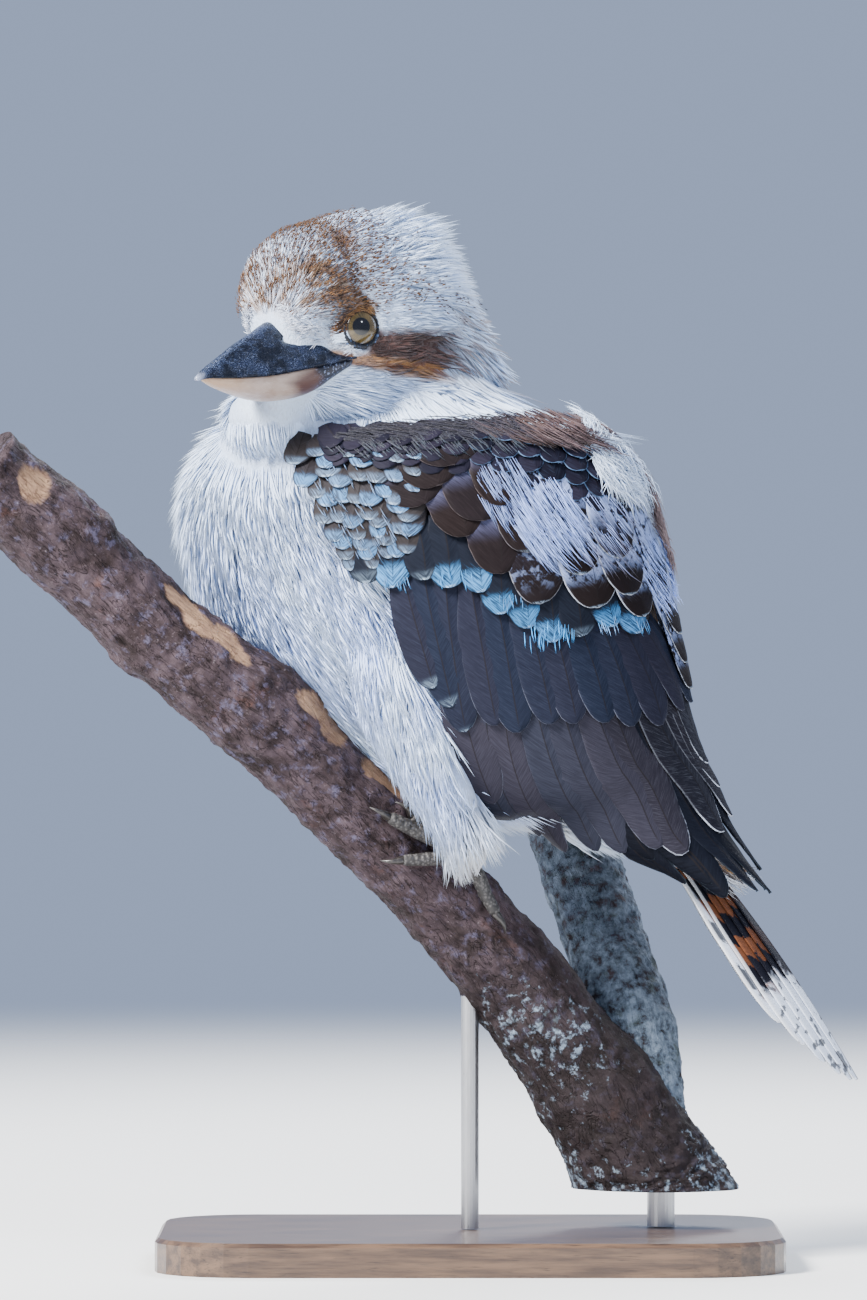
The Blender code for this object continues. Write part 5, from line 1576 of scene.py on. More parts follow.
SCAPULAR_TIPS_LOW = [(-16, 270), (-1, 259), (5, 251), (13, 239), (41, 233), (56, 233), (79, 217), (84, 209)]
SCAPULAR_ROOTS_TOP = [(-14, 300), (20, 297), (44, 291), (64, 270)]
SCAPULAR_TIPS_TOP = [(-8, 281), (14, 266), (32, 256), (50, 250), (74, 236), (81, 228)]
MANTLE_TIPS_TOP = [(-46, 290), (-6, 290), (26, 288), (50, 279)]
MANTLE_TIPS_LOW = [(-43, 285), (-10, 281), (22, 274), (50, 266)]


def tier(name, count, half_width, lift, pointed, roots, tips, base=-0.9, sway=1.3):
    return {"name": name, "count": count, "half": half_width, "lift": lift, "pointed": pointed,
            "roots": roots, "tips": tips, "base": base, "sway": sway}


TIERS = [
    tier("primaries", 8, 5.6, 1.0, 0.8, PRIMARY_ROOTS, PRIMARY_TIPS),
    tier("secondaries", 12, 7.6, 1.5, 0.2, SECONDARY_ROOTS, SECONDARY_TIPS),
    tier("greater", 12, 7.6, 1.7, 0.1, GREATER_ROOTS, GREATER_TIPS),
    tier("median", 11, 7.4, 1.8, 0.0, MEDIAN_ROOTS, MEDIAN_TIPS),
]
for k in range(6):
    share = 1 - k / 5
    tips = between_lines(LESSER_TIPS_TOP, LESSER_TIPS_LOW, share)
    roots = [(x + 1.5, z + 16 - 1.0 * k) for x, z in tips]
    TIERS.append(tier("lesser", 7 + k % 2, 4.9, 1.5 + 0.35 * k, 0.0, roots, tips, sway=2.4))
scapular_tips_middle = between_lines(SCAPULAR_TIPS_TOP, SCAPULAR_TIPS_LOW, 0.5)
for k, tips in enumerate((SCAPULAR_TIPS_LOW, scapular_tips_middle, SCAPULAR_TIPS_TOP)):
    roots = between_lines(SCAPULAR_ROOTS_TOP, SCAPULAR_ROOTS_LOW, 1 - k / 2)
    TIERS.append(tier("scapulars", 8 - k, 11.4, 2.4 + 0.55 * k, 0.15, roots, tips, base=0.0))
for k in range(4):
    share = 1 - k / 3
    tips = between_lines(MANTLE_TIPS_TOP, MANTLE_TIPS_LOW, share)
    roots = [(x - 5, z + 9) for x, z in tips]
    TIERS.append(tier("mantle", 13, 5.2, 2.9 + 0.35 * k, 0.0, roots, tips, base=1.0))


def feather_look(name, x, own, rank):
    """Tone, rim and tip colours of one feather, and its rim width, tip length and share of painted sheen."""
    lucky = own * 7.3 % 1
    if name == "primaries":
        return BLACK_BROWN * (0.8 + 0.5 * lucky), GREY_BLUE * 0.3, BLACK_BROWN, (0.25, 0.0, 0.0)
    if name == "secondaries":
        inner = ramp(0.52, 0.75, rank)
        tone = mix(SLATE, SLATE_BROWN, 0.3 + 0.6 * lucky) * (1.15 - 0.6 * inner)
        return tone, mix(PALE_EDGE, WHITE_EDGE, inner), tone * 0.6, (0.20 + 0.30 * inner, 0.0, 0.0)
    if name == "greater":
        tone = mix(SLATE, SLATE_BROWN, lucky) * (0.95, 1.02, 1.20) * 0.7
        front = ramp(6, -8, x)
        return tone, mix(PALE_EDGE, GREY_BLUE, front), mix(tone, GREY_BLUE, front), (0.16, 4.0 * front, 0.0)
    if name == "median":
        bright = float((-30 < x < -19) or (-13 < x < 33) or (42 < x < 60))
        tip = mix(GREY_BLUE * 0.7, mix(AZURE, PALE_BLUE, 0.3 * lucky) * 0.72, bright * (0.75 + 0.25 * lucky))
        tone = mix(BLACK_BROWN, SLATE, 0.5) * 0.75
        return tone, GREY_BLUE * 0.5, tip, (0.0, (3.0 + 3.4 * bright) + 2.0 * lucky, 0.0)
    if name == "lesser":
        blue = ramp(0.25, 0.75, lucky)
        tip = mix(GREY_BLUE * 0.9, mix(PALE_BLUE, AZURE, 0.5 * blue) * 0.62, 0.25 + 0.75 * blue)
        return mix(DULL_BROWN, SLATE_BROWN, 0.5 * lucky) * 0.7, GREY_BLUE, tip, (0.0, 2.6 + 2.6 * lucky, 0.0)
    if name == "scapulars":
        rear = ramp(12, 34, x)
        tone = mix(WARM_BROWN, SLATE_BROWN, 0.35 * lucky) * (0.40 - 0.06 * rear)
        rim, tip = mix((0.085, 0.070, 0.072), WHITE_EDGE * 0.7, rear), mix(tone, (0.010, 0.007, 0.007), rear)
        # The last number is the share of painted sheen: a violet wash on the front scapulars, pale blue
        # blotches on the rear ones.
        return tone, rim, tip, (0.18 + 0.15 * rear, 8.0 * rear, 0.12 + 0.98 * rear)
    tone = mix(NAVY_BROWN * 0.6, (0.020, 0.017, 0.030), lucky)
    edge = ramp(-4, 12, x)
    return tone, mix(GREY_BLUE * 0.30, PALE_BLUE * 0.55, edge), tone, (0.10 + 0.17 * edge, 0.0, 0.0)


def lay_tier(row, side, first):
    """The upper and lower grids of a tier's vanes, and what the finish needs to know at each point."""
    stations = 1 - (1 - np.linspace(0, 1, VANE_STATIONS)) ** 1.5
    uppers, lowers, looks, measures, owns = [], [], [], [], []
    for i in range(row["count"]):
        rank = i / (row["count"] - 1)
        own = ((first + i) * 0.6180339) % 1
        sway = row["sway"] * math.sin(9.1 * (first + i))
        root, tip = along_line(row["roots"], rank), along_line(row["tips"], rank) + (sway * 0.6, sway * 0.8)
        start, end = (np.maximum(place_on_wing(*p), (0, UPPERMOST)) for p in (root, tip))
        chart = start + (end - start) * stations[:, None]
        t, angle = chart[:, 0], chart[:, 1]
        by_t, by_angle, outward = ring_slopes(WING_RINGS, t, angle, 1)
        heading = unit(by_t * (end - start)[0] + by_angle * (end - start)[1])
        aside = unit(np.cross(outward, heading))
        tt, ta, aa = (np.sum(p, axis=1) for p in (by_t * by_t, by_t * by_angle, by_angle * by_angle))
        at, an = np.sum(by_t * aside, axis=1), np.sum(by_angle * aside, axis=1)
        det = tt * aa - ta * ta
        moves = np.stack(((aa * at - ta * an) / det, (tt * an - ta * at) / det), axis=1)
        length = float(np.linalg.norm(np.diff(ring_place(WING_RINGS, t, angle), axis=0), axis=1).sum())
        edge_ways = np.stack((stations * length, stations * 0 + 7 * own, stations * 0), axis=1)
        notch = 1 + 0.035 * drift(edge_ways, 1.6, 5)
        half = row["half"] * (0.94 + 0.12 * own) * vane_outline(stations, row["pointed"]) * notch
        reach = half[:, None] * VANE_COLUMNS[None]
        bow = 0.04 * length * np.sin(math.pi * stations)[:, None]
        spot_t = t[:, None] + moves[:, :1] * (reach + bow)
        spot_angle = np.maximum(angle[:, None] + moves[:, 1:] * (reach + bow), 0.05 + 0.03 * own)
        lean = -VANE_LEAN * VANE_COLUMNS[None]
        camber = -VANE_CAMBER * VANE_COLUMNS[None] ** 2
        shaft = VANE_SHAFT * (np.abs(VANE_COLUMNS) < 0.03)[None] * (1 - stations)[:, None]
        ways = (reach + 50 * own, stations[:, None] * length + reach * 0, reach * 0)
        ripple = 0.12 * drift(np.stack(ways, axis=-1), 3.0)
        height = (row["base"] + (row["lift"] - row["base"]) * stations[:, None] + lean + camber + shaft
                  + 0.10 * own + ripple)
        uppers.append(wing_place(spot_t, spot_angle, height, side))
        lowers.append(wing_place(spot_t, spot_angle, height - VANE_THICK, side))
        edge = half[:, None] * (1 - np.abs(VANE_COLUMNS))[None]
        to_tip = ((1 - stations) * length)[:, None] + 0 * reach
        measures.append(np.stack((edge, to_tip, reach), axis=-1))
        looks.append(feather_look(row["name"], tip[0], own, rank))
        owns.append(np.full(reach.shape, own))
    return uppers, lowers, looks, measures, owns


# %% Vane finish
def barbs_of(finish, measure, own):
    """Fine stripes that run out from the shaft towards the tip, as barbs do."""
    _, to_tip, aside = finish.parts(measure)
    slant = to_tip - aside.size() * 1.1
    flow = finish.node("ShaderNodeCombineXYZ", inputs={0: slant * 2.4, 1: aside * 0.25, 2: own * 37.0})
    return finish.noise(flow, 1.0, 3.0, 0.6)


def make_vane_finish():
    """A feather finish: tone with barb stripes, dark shaft, painted sheen, coloured tip and pale rim."""
    finish = Finish("wing_vanes", roughness=0.6, specular=0.04)
    measure = finish.kept("measure", "Vector")
    edge, to_tip, aside = finish.parts(measure)
    rim_wide, tip_long, sheen_share = finish.parts(finish.kept("plan", "Vector"))
    own, _, _ = finish.parts(finish.kept("own", "Vector"))
    barbs = barbs_of(finish, measure, own)
    spot = finish.place()
    clouds = finish.noise(spot, 3.2, 4.0, 0.65)
    tone, rim_tone = finish.kept("tone"), finish.kept("rim")
    # Painted sheen: pale violet blue blotches on the rear scapulars, clear of their dark tips.
    patch = (clouds + sheen_share * 0.20 - 0.60).between(0.0, 0.14) * sheen_share.between(0.4, 0.8)
    patch = patch * (to_tip - tip_long).between(-1.0, 7.0)
    # Painted sheen: a violet wash over the upper halves of the front scapulars.
    violet = to_tip.between(9.0, 20.0) * sheen_share.between(0.0, 0.12) * sheen_share.between(0.6, 0.3)
    nearest_edge = edge.maths("MINIMUM", edge, to_tip) + (barbs - 0.5) * 0.30
    ragged = (barbs - 0.5) * tip_long
    tip_mask = (tip_long - to_tip + ragged * 1.6).between(-0.7, 1.1) * edge.between(-0.1, 0.9)
    tip_mask = tip_mask * tip_long.between(0.5, 2.0)
    tipped = finish.layered(
        finish.kept("tipped"),
        (tone, barbs.between(0.44, 0.58) * 0.85),
        ((0.50, 0.66, 0.86), to_tip.between(1.2, 0.3) * barbs.between(0.6, 0.4) * 0.5),
    )
    rim = (rim_wide - nearest_edge).between(-0.12, 0.18) * (to_tip.between(20.0, 8.0) * 0.85 + 0.15)
    rim = rim * clouds.between(0.32, 0.52)
    shaft = aside.size().between(0.30, 0.10) * to_tip.between(1.0, 6.0)
    colour = finish.layered(
        tone,
        ((0.0, 0.0, 0.0), barbs.between(0.35, 0.75) * 0.35),
        (rim_tone, barbs.between(0.50, 0.30) * 0.05),
        ((0.13, 0.14, 0.27), violet * (barbs.between(0.7, 0.4) * 0.4 + 0.2)),
        ((0.36, 0.46, 0.80), patch * (barbs.between(0.75, 0.35) * 0.5 + 0.4)),
        (tipped, tip_mask),
        (rim_tone, rim * 0.85),
        ((0.012, 0.010, 0.010), shaft * 0.7),
    )
    finish.set(base_color=colour, roughness=barbs * 0.2 + 0.42)
    finish.bump(barbs, 0.12, 0.8)
    return finish


vane_finish = make_vane_finish()


def make_wing(key, side):
    uppers, lowers, looks, measures, owns = [], [], [], [], []
    for row in TIERS:
        for total, part in zip((uppers, lowers, looks, measures, owns), lay_tier(row, side, len(looks))):
            total.extend(part)
    tones, rims, tips, plans = (np.array([look[k] for look in looks]) for k in range(4))
    upper, lower, measure, own = (np.array(part) for part in (uppers, lowers, measures, owns))
    own = np.stack((own, own, own), axis=-1)
    plan = np.broadcast_to(plans[:, None, None], measure.shape)
    piece = vane_mesh(f"wing_feathers_{key}", vane_finish.material, upper, lower,
                      {"tone": tones, "rim": rims, "tipped": tips},
                      {"measure": measure, "plan": plan, "own": own}, flip=side < 0)
    stands_for(piece, "wing_plumage", f"wing_{key}")


for key, side in SIDES.items():
    make_wing(key, side)

# %% [markdown]
# ## Loose barbs on the wing
# Where a covert's blue fringe shows, its barbs part and catch the light. The same blades as the body's
# are set on the wing for these fringes, for the streaked mantle, for the ruffled white down at the
# shoulder, and as violet strands that paint a pale sheen over the scapulars. Each patch is an oval in
# the side view with a heading.

# %% Wing patches
SHEEN_VIOLET = np.array((0.30, 0.42, 0.84))
BARB_BROWN = np.array((0.13, 0.088, 0.085))
MANTLE_SHEEN = np.array((0.038, 0.030, 0.036))
PATCHES = [
    # middle, size, how many, heading, length, rise, width, base colour, tip colour, height over the wing
    ((-26, 245), (4.5, 2.6), 12, (0.25, -1), 3.6, 0.08, 0.30, PALE_BLUE * 0.5, AZURE, 2.2),
    ((-6, 246), (6.0, 2.4), 14, (0.2, -1), 3.6, 0.08, 0.30, AZURE * 0.5, AZURE * 1.2, 2.2),
    ((12, 238), (4.6, 2.2), 12, (0.1, -1), 3.4, 0.10, 0.30, PALE_BLUE * 0.5, AZURE, 3.0),
    ((25, 227), (8.5, 3.6), 34, (0.05, -1), 5.2, 0.08, 0.32, AZURE * 0.5, AZURE * 1.4, 2.6),
    ((45, 229), (4.5, 2.4), 14, (0.25, -1), 3.8, 0.10, 0.30, AZURE * 0.6, PALE_BLUE * 1.3, 2.8),
    ((56, 228), (2.8, 2.4), 10, (0.3, -1), 3.6, 0.10, 0.32, PALE_BLUE * 0.6, AZURE, 2.6),
    ((-45, 276), (11.0, 9.0), 50, (0.55, -1), 3.8, 0.10, 0.28, DULL_BROWN, PALE_BLUE * 0.9, 2.6),
    ((-36, 262), (12.0, 8.0), 50, (0.5, -1), 3.8, 0.10, 0.28, DULL_BROWN, PALE_BLUE * 0.9, 2.6),
    ((-18, 294), (30.0, 4.0), 620, (1, -0.24), 9.0, 0.04, 0.42, NAVY_BROWN * 0.8, NAVY_BROWN * 1.2, 3.8),
    ((-12, 296), (28.0, 3.0), 150, (1, -0.24), 10.0, 0.05, 0.32, NAVY_BROWN * 0.9, MANTLE_SHEEN, 4.0),
    ((22, 295), (26.0, 5.0), 560, (1, -0.45), 11.0, 0.05, 0.42, NAVY_BROWN * 1.2, MANTLE_BROWN, 4.2),
    ((34, 295), (22.0, 6.0), 380, (1, -0.55), 12.0, 0.07, 0.34, MANTLE_BROWN, (0.16, 0.11, 0.12), 4.6),
    ((-14, 290), (36.0, 3.0), 160, (0.75, -0.75), 6.0, 0.06, 0.32, NAVY_BROWN, GREY_BLUE * 0.6, 4.2),
    # Painted sheen: these violet strands over the scapulars stand in for their pale sheen.
    ((8, 276), (8.0, 10.0), 170, (0.55, -1), 10.0, 0.02, 0.24, SHEEN_VIOLET * 0.5, SHEEN_VIOLET * 0.9, 3.4),
    ((22, 266), (10.0, 12.0), 330, (0.62, -1), 11.0, 0.03, 0.24, SHEEN_VIOLET * 0.8, SHEEN_VIOLET, 4.0),
    ((40, 262), (10.0, 12.0), 120, (0.7, -1), 12.0, 0.04, 0.26, SHEEN_VIOLET * 0.9, BARB_BROWN * 0.5, 4.2),
    ((62, 250), (8.0, 14.0), 170, (0.6, -1), 9.0, 0.08, 0.28, SHEEN_VIOLET * 0.8, SHEEN_VIOLET * 1.3, 4.2),
    ((47, 286), (9.0, 10.0), 900, (0.55, -0.8), 11.0, 0.55, 0.34, WHITE * 0.75, WHITE, 3.8),
    ((44, 292), (9.0, 5.0), 520, (0.60, 0.85), 10.0, 0.40, 0.32, WHITE * 0.75, WHITE, 3.6),
    ((54, 282), (9.0, 8.0), 260, (0.8, -0.4), 8.0, 0.35, 0.30, WHITE * 0.75, WHITE, 3.8),
    ((66, 272), (8.0, 15.0), 620, (0.6, -1), 12.0, 0.20, 0.34, BARB_BROWN * 0.6, (0.22, 0.16, 0.165), 4.6),
    ((60, 292), (14.0, 7.0), 420, (0.85, -0.55), 11.0, 0.16, 0.32, BARB_BROWN * 0.7, (0.20, 0.14, 0.14), 4.4),
]


def place_patch(patch, side):
    (x0, z0), (wide, high), count, heading, length, rise, width, base, tip, over = patch
    turn, away = chance.random(count) * TURN, np.sqrt(chance.random(count))
    x, z = x0 + wide * away * np.cos(turn), z0 + high * away * np.sin(turn)
    heading = unit(np.array(heading, float))
    here = np.array([place_on_wing(*p) for p in zip(x, z)])
    there = np.array([place_on_wing(*p) for p in zip(x + 3 * heading[0], z + 3 * heading[1])])
    here[:, 1], there[:, 1] = np.maximum(here[:, 1], 0.16), np.maximum(there[:, 1], 0.16)
    roots = wing_place(here[:, 0], here[:, 1], np.full(count, over) - 0.8 + 0.8 * chance.random(count), side)
    _, _, outs = ring_slopes(WING_RINGS, here[:, 0], here[:, 1], side)
    ways = unit(wing_place(there[:, 0], there[:, 1], np.full(count, float(over)), side) - roots)
    own = chance.normal(size=count)
    unwrap = np.stack((np.clip((x + 90) / 220, 0, 1), np.clip((z - 100) / 240, 0, 1)), axis=1)
    shade = (0.60 + 0.70 * chance.random(count))[:, None]
    return {
        "roots": roots, "ways": unit(ways + 0.6 * rise * chance.normal(size=(count, 3))), "outs": outs,
        "lengths": length * (1 + 0.28 * own), "widths": width * (1 + 0.2 * own), "rise": np.full(count, rise),
        "droop": np.full(count, rise) + 0.04, "sway": 0.12 * own,
        "base": np.asarray(base) * shade, "tip": np.asarray(tip) * shade, "unwrap": unwrap,
    }


for key, side in SIDES.items():
    parts = [place_patch(patch, side) for patch in PATCHES]
    joined = {name: np.concatenate([part[name] for part in parts]) for name in parts[0]}
    stands_for(make_blades(f"wing_barbs_{key}", **joined), "wing_plumage")

# %% [markdown]
# ## Tail
# The tail is folded to a narrow arch of twelve feathers, the middle pair on top. They are rufous with
# black bars, and end in white. The outermost ones are mostly white with black marks. A bar is drawn by
# the distance from the tip, kept on the mesh, and bends with the barbs.

# %% Tail feathers
TAIL_ROOT = np.array((82.0, 0.0, 149.0))
TAIL_BEND = np.array((111.0, 0.0, 115.5))
TAIL_TIP = np.array((139.7, 0.0, 66.0))
TAIL_PAIRS = 6
TAIL_HALF = 5.9
TAIL_LONG = 103.0

tail_finish = Finish("tail_vanes", roughness=0.55, specular=0.12)
measure = tail_finish.kept("measure", "Vector")
edge, to_tip, aside = tail_finish.parts(measure)
outer, _, own = tail_finish.parts(tail_finish.kept("plan", "Vector"))
barbs = barbs_of(tail_finish, measure, own)
spot = tail_finish.place()
clouds = tail_finish.noise(spot, 5.0, 3.0)
bend = to_tip - aside * 1.15 + (clouds - 0.5) * 13.0 + (barbs - 0.5) * 2.2
bar = ((bend + own * 4.0) * (TURN / 21.0)).wave().between(-0.25, 0.05)
flecks = tail_finish.noise(spot, 4.0, 2.0).between(0.58, 0.62)
web = aside.between(2.0, 3.4) * outer.between(0.85, 0.95)
rim_white = (1.1 - edge).between(-0.3, 0.3)
white_end, white_web = (tail_finish.blend((0.66, 0.72, 0.84), (0.012, 0.012, 0.016), dark)
                        for dark in (flecks * 0.8, bar * web * 0.9))
tail_finish.set(base_color=tail_finish.layered(
    (0.17, 0.060, 0.026),
    ((0.085, 0.030, 0.016), barbs.between(0.35, 0.7) * 0.7),
    ((0.006, 0.006, 0.011), bar),
    (white_web, web),
    ((0.008, 0.008, 0.013), outer.between(0.25, 0.1) * 0.9),
    (white_end, bend.between(42.0, 36.0)),
    ((0.80, 0.82, 0.86), rim_white * outer.between(0.6, 0.9) * 0.8),
    ((0.05, 0.03, 0.025), aside.size().between(0.32, 0.12) * 0.6),
))
tail_finish.bump(barbs, 0.12, 0.8)


def lay_tail(side):
    """The upper and lower grids of one side of the tail, and what the finish needs to know at each point."""
    stations = 1 - (1 - np.linspace(0, 1, 30)) ** 1.3
    uppers, lowers, measures, plans = [], [], [], []
    for pair in range(TAIL_PAIRS):
        along = (stations * (1 - 0.012 * pair**2))[:, None]
        place = (1 - along) ** 2 * TAIL_ROOT + 2 * along * (1 - along) * TAIL_BEND + along**2 * TAIL_TIP
        heading = unit(2 * (1 - along) * (TAIL_BEND - TAIL_ROOT) + 2 * along * (TAIL_TIP - TAIL_BEND))
        back = np.stack((-heading[:, 2], 0 * heading[:, 0], heading[:, 0]), axis=1)
        half = TAIL_HALF * vane_outline(stations, 0.15)[:, None]
        y = 2.6 + (2.4 + 1.5 * along) * pair + half * VANE_COLUMNS[None]
        drop = 11.0 * (np.abs(y) / 24) ** 1.7 + 0.95 * pair
        camber = 0.30 * VANE_COLUMNS[None] ** 2 - 0.25 * (np.abs(VANE_COLUMNS) < 0.03)
        spots = place[:, None] - back[:, None] * (drop + camber)[..., None]
        spots = spots + np.stack((0 * y, -side * y, 0 * y), axis=-1)
        uppers.append(spots)
        lowers.append(spots - back[:, None] * (VANE_THICK + 0.1))
        edge, to_tip = half * (1 - np.abs(VANE_COLUMNS)), (1 - along) * TAIL_LONG + 0 * y
        measures.append(np.stack((edge, to_tip, half * VANE_COLUMNS), axis=-1))
        plan = np.array((pair / (TAIL_PAIRS - 1), float(side), (pair * 0.37 + 0.2 * side) % 1))
        plans.append(np.broadcast_to(plan, spots.shape))
    return [np.array(part) for part in (uppers, lowers, measures, plans)]


for key, side in SIDES.items():
    upper, lower, measure, plan = lay_tail(side)
    piece = vane_mesh(f"tail_feathers_{key}", tail_finish.material, upper, lower, {},
                      {"measure": measure, "plan": plan}, flip=side < 0)
    stands_for(piece, "tail_plumage", *(["tail"] if side < 0 else []))

# %% Tail coverts
count = 1500  # small ones under the tail's root
lift_off = chance.random(count)
across_tail = chance.normal(size=count) * 0.45
roots = (30 + 36 * lift_off, 17 * across_tail, 156 - 5 * lift_off + 3 * np.abs(across_tail))
ways = (0.86 + 0 * lift_off, 0.22 * across_tail, -0.42 - 0.2 * lift_off)
outs = (-0.6 + 0 * lift_off, 0.6 * across_tail, -0.8 + 0 * lift_off)
roots, ways, outs = (np.stack(parts, axis=1) for parts in (roots, ways, outs))
ways = unit(ways + 0.10 * chance.normal(size=(count, 3)))
own = chance.normal(size=count)
unwrap = np.stack((0.5 + 0.3 * np.clip(across_tail, -1, 1), 0.1 + 0.3 * lift_off), axis=1)
cream, white = (np.broadcast_to(tone, (count, 3)) for tone in (CREAM, WHITE * 0.95))
piece = make_blades("undertail_coverts", roots, ways, unit(outs), 11 * (1 + 0.25 * own),
                    0.8 * (1 + 0.2 * own), 0.10, 0.10, 0.1 * own, cream, white, unwrap)
stands_for(piece, "white_plumage")

# %% [markdown]
# ## The perch
# The branch comes in from the upper left, passes under the feet and goes down as the trunk, with a
# second stem forking off behind. Bark is real relief: the radius follows knots, ridges and noise. Its
# colours are a reddish purple brown, tan where the bark is rubbed off, and green-grey lichen low down
# and on the fork. Where the bark is bare, where lichen grows and where wood was sawn is kept on the
# mesh, because those places follow the branch and not the room.

# %% Branch shape
BRANCH = np.array([
    (-172.6, -71.8, 284.6, 16.5),
    (-142, -58, 256, 16.5),
    (-112, -48, 228, 16.8),
    (-83, -40, 204, 17.6),
    (-54, -26, 177, 17.2),
    (-25, -14, 148, 17),
    (0, -5, 121, 17.6),
    (22, 1, 94, 18.8),
    (43, 5, 64, 21),
    (61, 8, 37, 23.5),
    (69, 9, 24, 24.5),
    (77, 10, 11, 25.5),
], float)
FORK = np.array([(62, 14, 52, 16.5), (58, 26, 84, 16.5), (50, 42, 112, 15.5), (42, 58, 137, 15),
                 (35, 70, 160, 14.5)], float)
TRUNK_FOOT = 26.0
FORK_LICHEN = 0.62
LICHEN_DEPTHS = (-110, -40)  # minus the heights between which lichen sets in on the trunk
KNOTS = [  # ring number, angle round in degrees, height, spread along in rings, spread round in radians
    (0.9, 25, 3.0, 0.35, 0.5),
    (3.35, 0, 4.2, 0.3, 0.6),
    (1.95, 175, 3.0, 0.16, 0.3),
    (9.0, 190, 3.5, 0.3, 0.4),
    (8.2, 20, 3.0, 0.3, 0.5),
]
BARE = [  # ring number, angle in degrees, spread along, spread round in radians
    (2.55, 38, 0.55, 0.42), (2.0, 30, 0.3, 0.35), (3.67, 28, 0.42, 0.40), (4.30, 30, 0.34, 0.38),
    (0.35, 60, 0.18, 0.5), (3.7, 15, 0.16, 0.2),
]


def turned(angle, degrees):
    return (angle - math.radians(degrees) + math.pi) % TURN - math.pi


def bark_relief(spots, t, angle, along_size):
    """How far bark stands out: ridges that run along the wood, plates and fine grain."""
    flow = np.stack((t * along_size, np.cos(angle) * 12, np.sin(angle) * 12), axis=-1)
    ridges = np.abs(rough_drift(flow * (0.35, 1, 1), 3.2, 3, 2))
    plates = rough_drift(spots, 14.0, 4, 4)
    grain = rough_drift(flow * (0.5, 1, 1), 1.3, 3, 9)
    wrinkles = 0.35 * np.maximum(np.sin(t * 9 + 2 * drift(flow, 12, 6)), 0) ** 6
    return 0.9 * plates - 0.8 * ridges + 0.5 * grain + 0.1 + wrinkles


def branch_ends():
    """The ring number at which each side of the trunk reaches its foot."""
    turns = np.linspace(0, TURN, 97)
    steps = np.linspace(8.5, len(BRANCH) - 1, 300)
    reach = []
    for turn in turns:
        z = tube_place(BRANCH, steps, np.full(len(steps), turn))[:, 2]
        reach.append(np.interp(-TRUNK_FOOT, -z, steps))
    return turns, np.array(reach)


foot_turns, foot_reach = branch_ends()


def branch_surface(a, b):
    angle = b * TURN
    last = np.interp(angle, foot_turns, foot_reach)
    t = a * last
    swell = np.zeros(len(t))
    for at, degrees, height, along, around in KNOTS:
        bump = np.exp(-((t - at) / along) ** 2 - (turned(angle, degrees) / around) ** 2)
        swell += height * bump * (1 - 0.5 * np.exp(-((t - at) / (along * 0.35)) ** 2
                                                    - (turned(angle, degrees) / (around * 0.35)) ** 2))
    plain = tube_place(BRANCH, t, angle)
    bare = bare_share(t, angle, plain)
    relief = bark_relief(plain, t, angle, 36.0) * (1 - 0.8 * bare) - 0.9 * bare
    spots = tube_place(BRANCH, t, angle, swell + relief * ramp(0, 0.01, a) * 1.0)
    spots[:, 2] = np.where(a > 0.999, TRUNK_FOOT, np.maximum(spots[:, 2], TRUNK_FOOT))
    return spots


def bare_share(t, angle, spots):
    """1 where the bark is rubbed off."""
    total = np.zeros(len(t))
    for at, degrees, along, around in BARE:
        total = np.maximum(total, np.exp(-((t - at) / along) ** 2 - (turned(angle, degrees) / around) ** 2))
    return ramp(0.50, 0.62, total + 0.30 * rough_drift(spots, 9.0, 4, 12))


def fork_surface(a, b):
    t, angle = a * (len(FORK) - 1), b * TURN
    plain = tube_place(FORK, t, angle)
    return tube_place(FORK, t, angle, bark_relief(plain, t, angle, 28.0) * ramp(0, 0.03, 1 - a))


# %% Bark finish
bark = Finish("bark", specular=0.12)
spot = bark.place()
bare, lichen, sawn = bark.parts(bark.kept("wear"))
course = bark.kept("course", "Vector")
fibre = bark.noise(bark.stretched(course, 0.25, 1.0, 1.0), 1.6, 5.0, 0.65)
clouds = bark.noise(spot, 11.0, 5.0, 0.65)
grit = bark.noise(spot, 1.2, 4.0, 0.7)
warped = bark.noise(spot, 6.0, 4.0, 0.7)
crack = (bark.noise(bark.stretched(course, 0.30, 1.0, 1.0), 4.5, 3.0, 0.6, 1.5) - 0.5).size()
moss = bark.noise(spot, 4.0, 5.0, 0.7)
rusty, violet, greenish = (bark.noise(spot, size, 4.0, 0.7) for size in (16.0, 5.0, 7.0))
_, _, high_up = bark.parts(spot)
wood = bark.layered(
    (0.34, 0.21, 0.13),
    ((0.19, 0.11, 0.075), fibre.between(0.35, 0.7)),
    ((0.13, 0.075, 0.05), clouds.between(0.58, 0.75) * 0.7),
)
crust = bark.layered(
    (0.085, 0.115, 0.155),
    ((0.22, 0.28, 0.36), moss.between(0.42, 0.68)),
    ((0.040, 0.055, 0.040), greenish.between(0.52, 0.70) * 0.7),
)
colour = bark.layered(
    (0.020, 0.013, 0.013),
    ((0.078, 0.055, 0.064), clouds.between(0.3, 0.7)),
    ((0.085, 0.038, 0.028), rusty.between(0.56, 0.74) * 0.6),
    ((0.13, 0.12, 0.20), violet.between(0.52, 0.70) * 0.55),
    ((0.24, 0.20, 0.22), grit.between(0.58, 0.76) * 0.5),
    ((0.010, 0.006, 0.006), fibre.between(0.46, 0.30) * 0.8),
    ((0.006, 0.004, 0.004), crack.between(0.022, 0.0) * warped.between(0.45, 0.62) * 0.8),
    # Darker towards the bottom: the bark darkens from 150 mm height down to 70 mm.
    ((0.010, 0.008, 0.008), high_up.between(150.0, 70.0) * 0.75),
    (wood, bare),
    (crust, (lichen + (moss - 0.5) * 1.3).between(0.42, 0.60) * 0.85),
    ((0.46, 0.31, 0.18), sawn),
)
bark.set(base_color=colour, roughness=(grit * 0.3 + 0.62))
bark.bump(fibre * 0.7 + grit * 0.35 + crack.between(0.0, 0.03) * 0.4, 0.9)


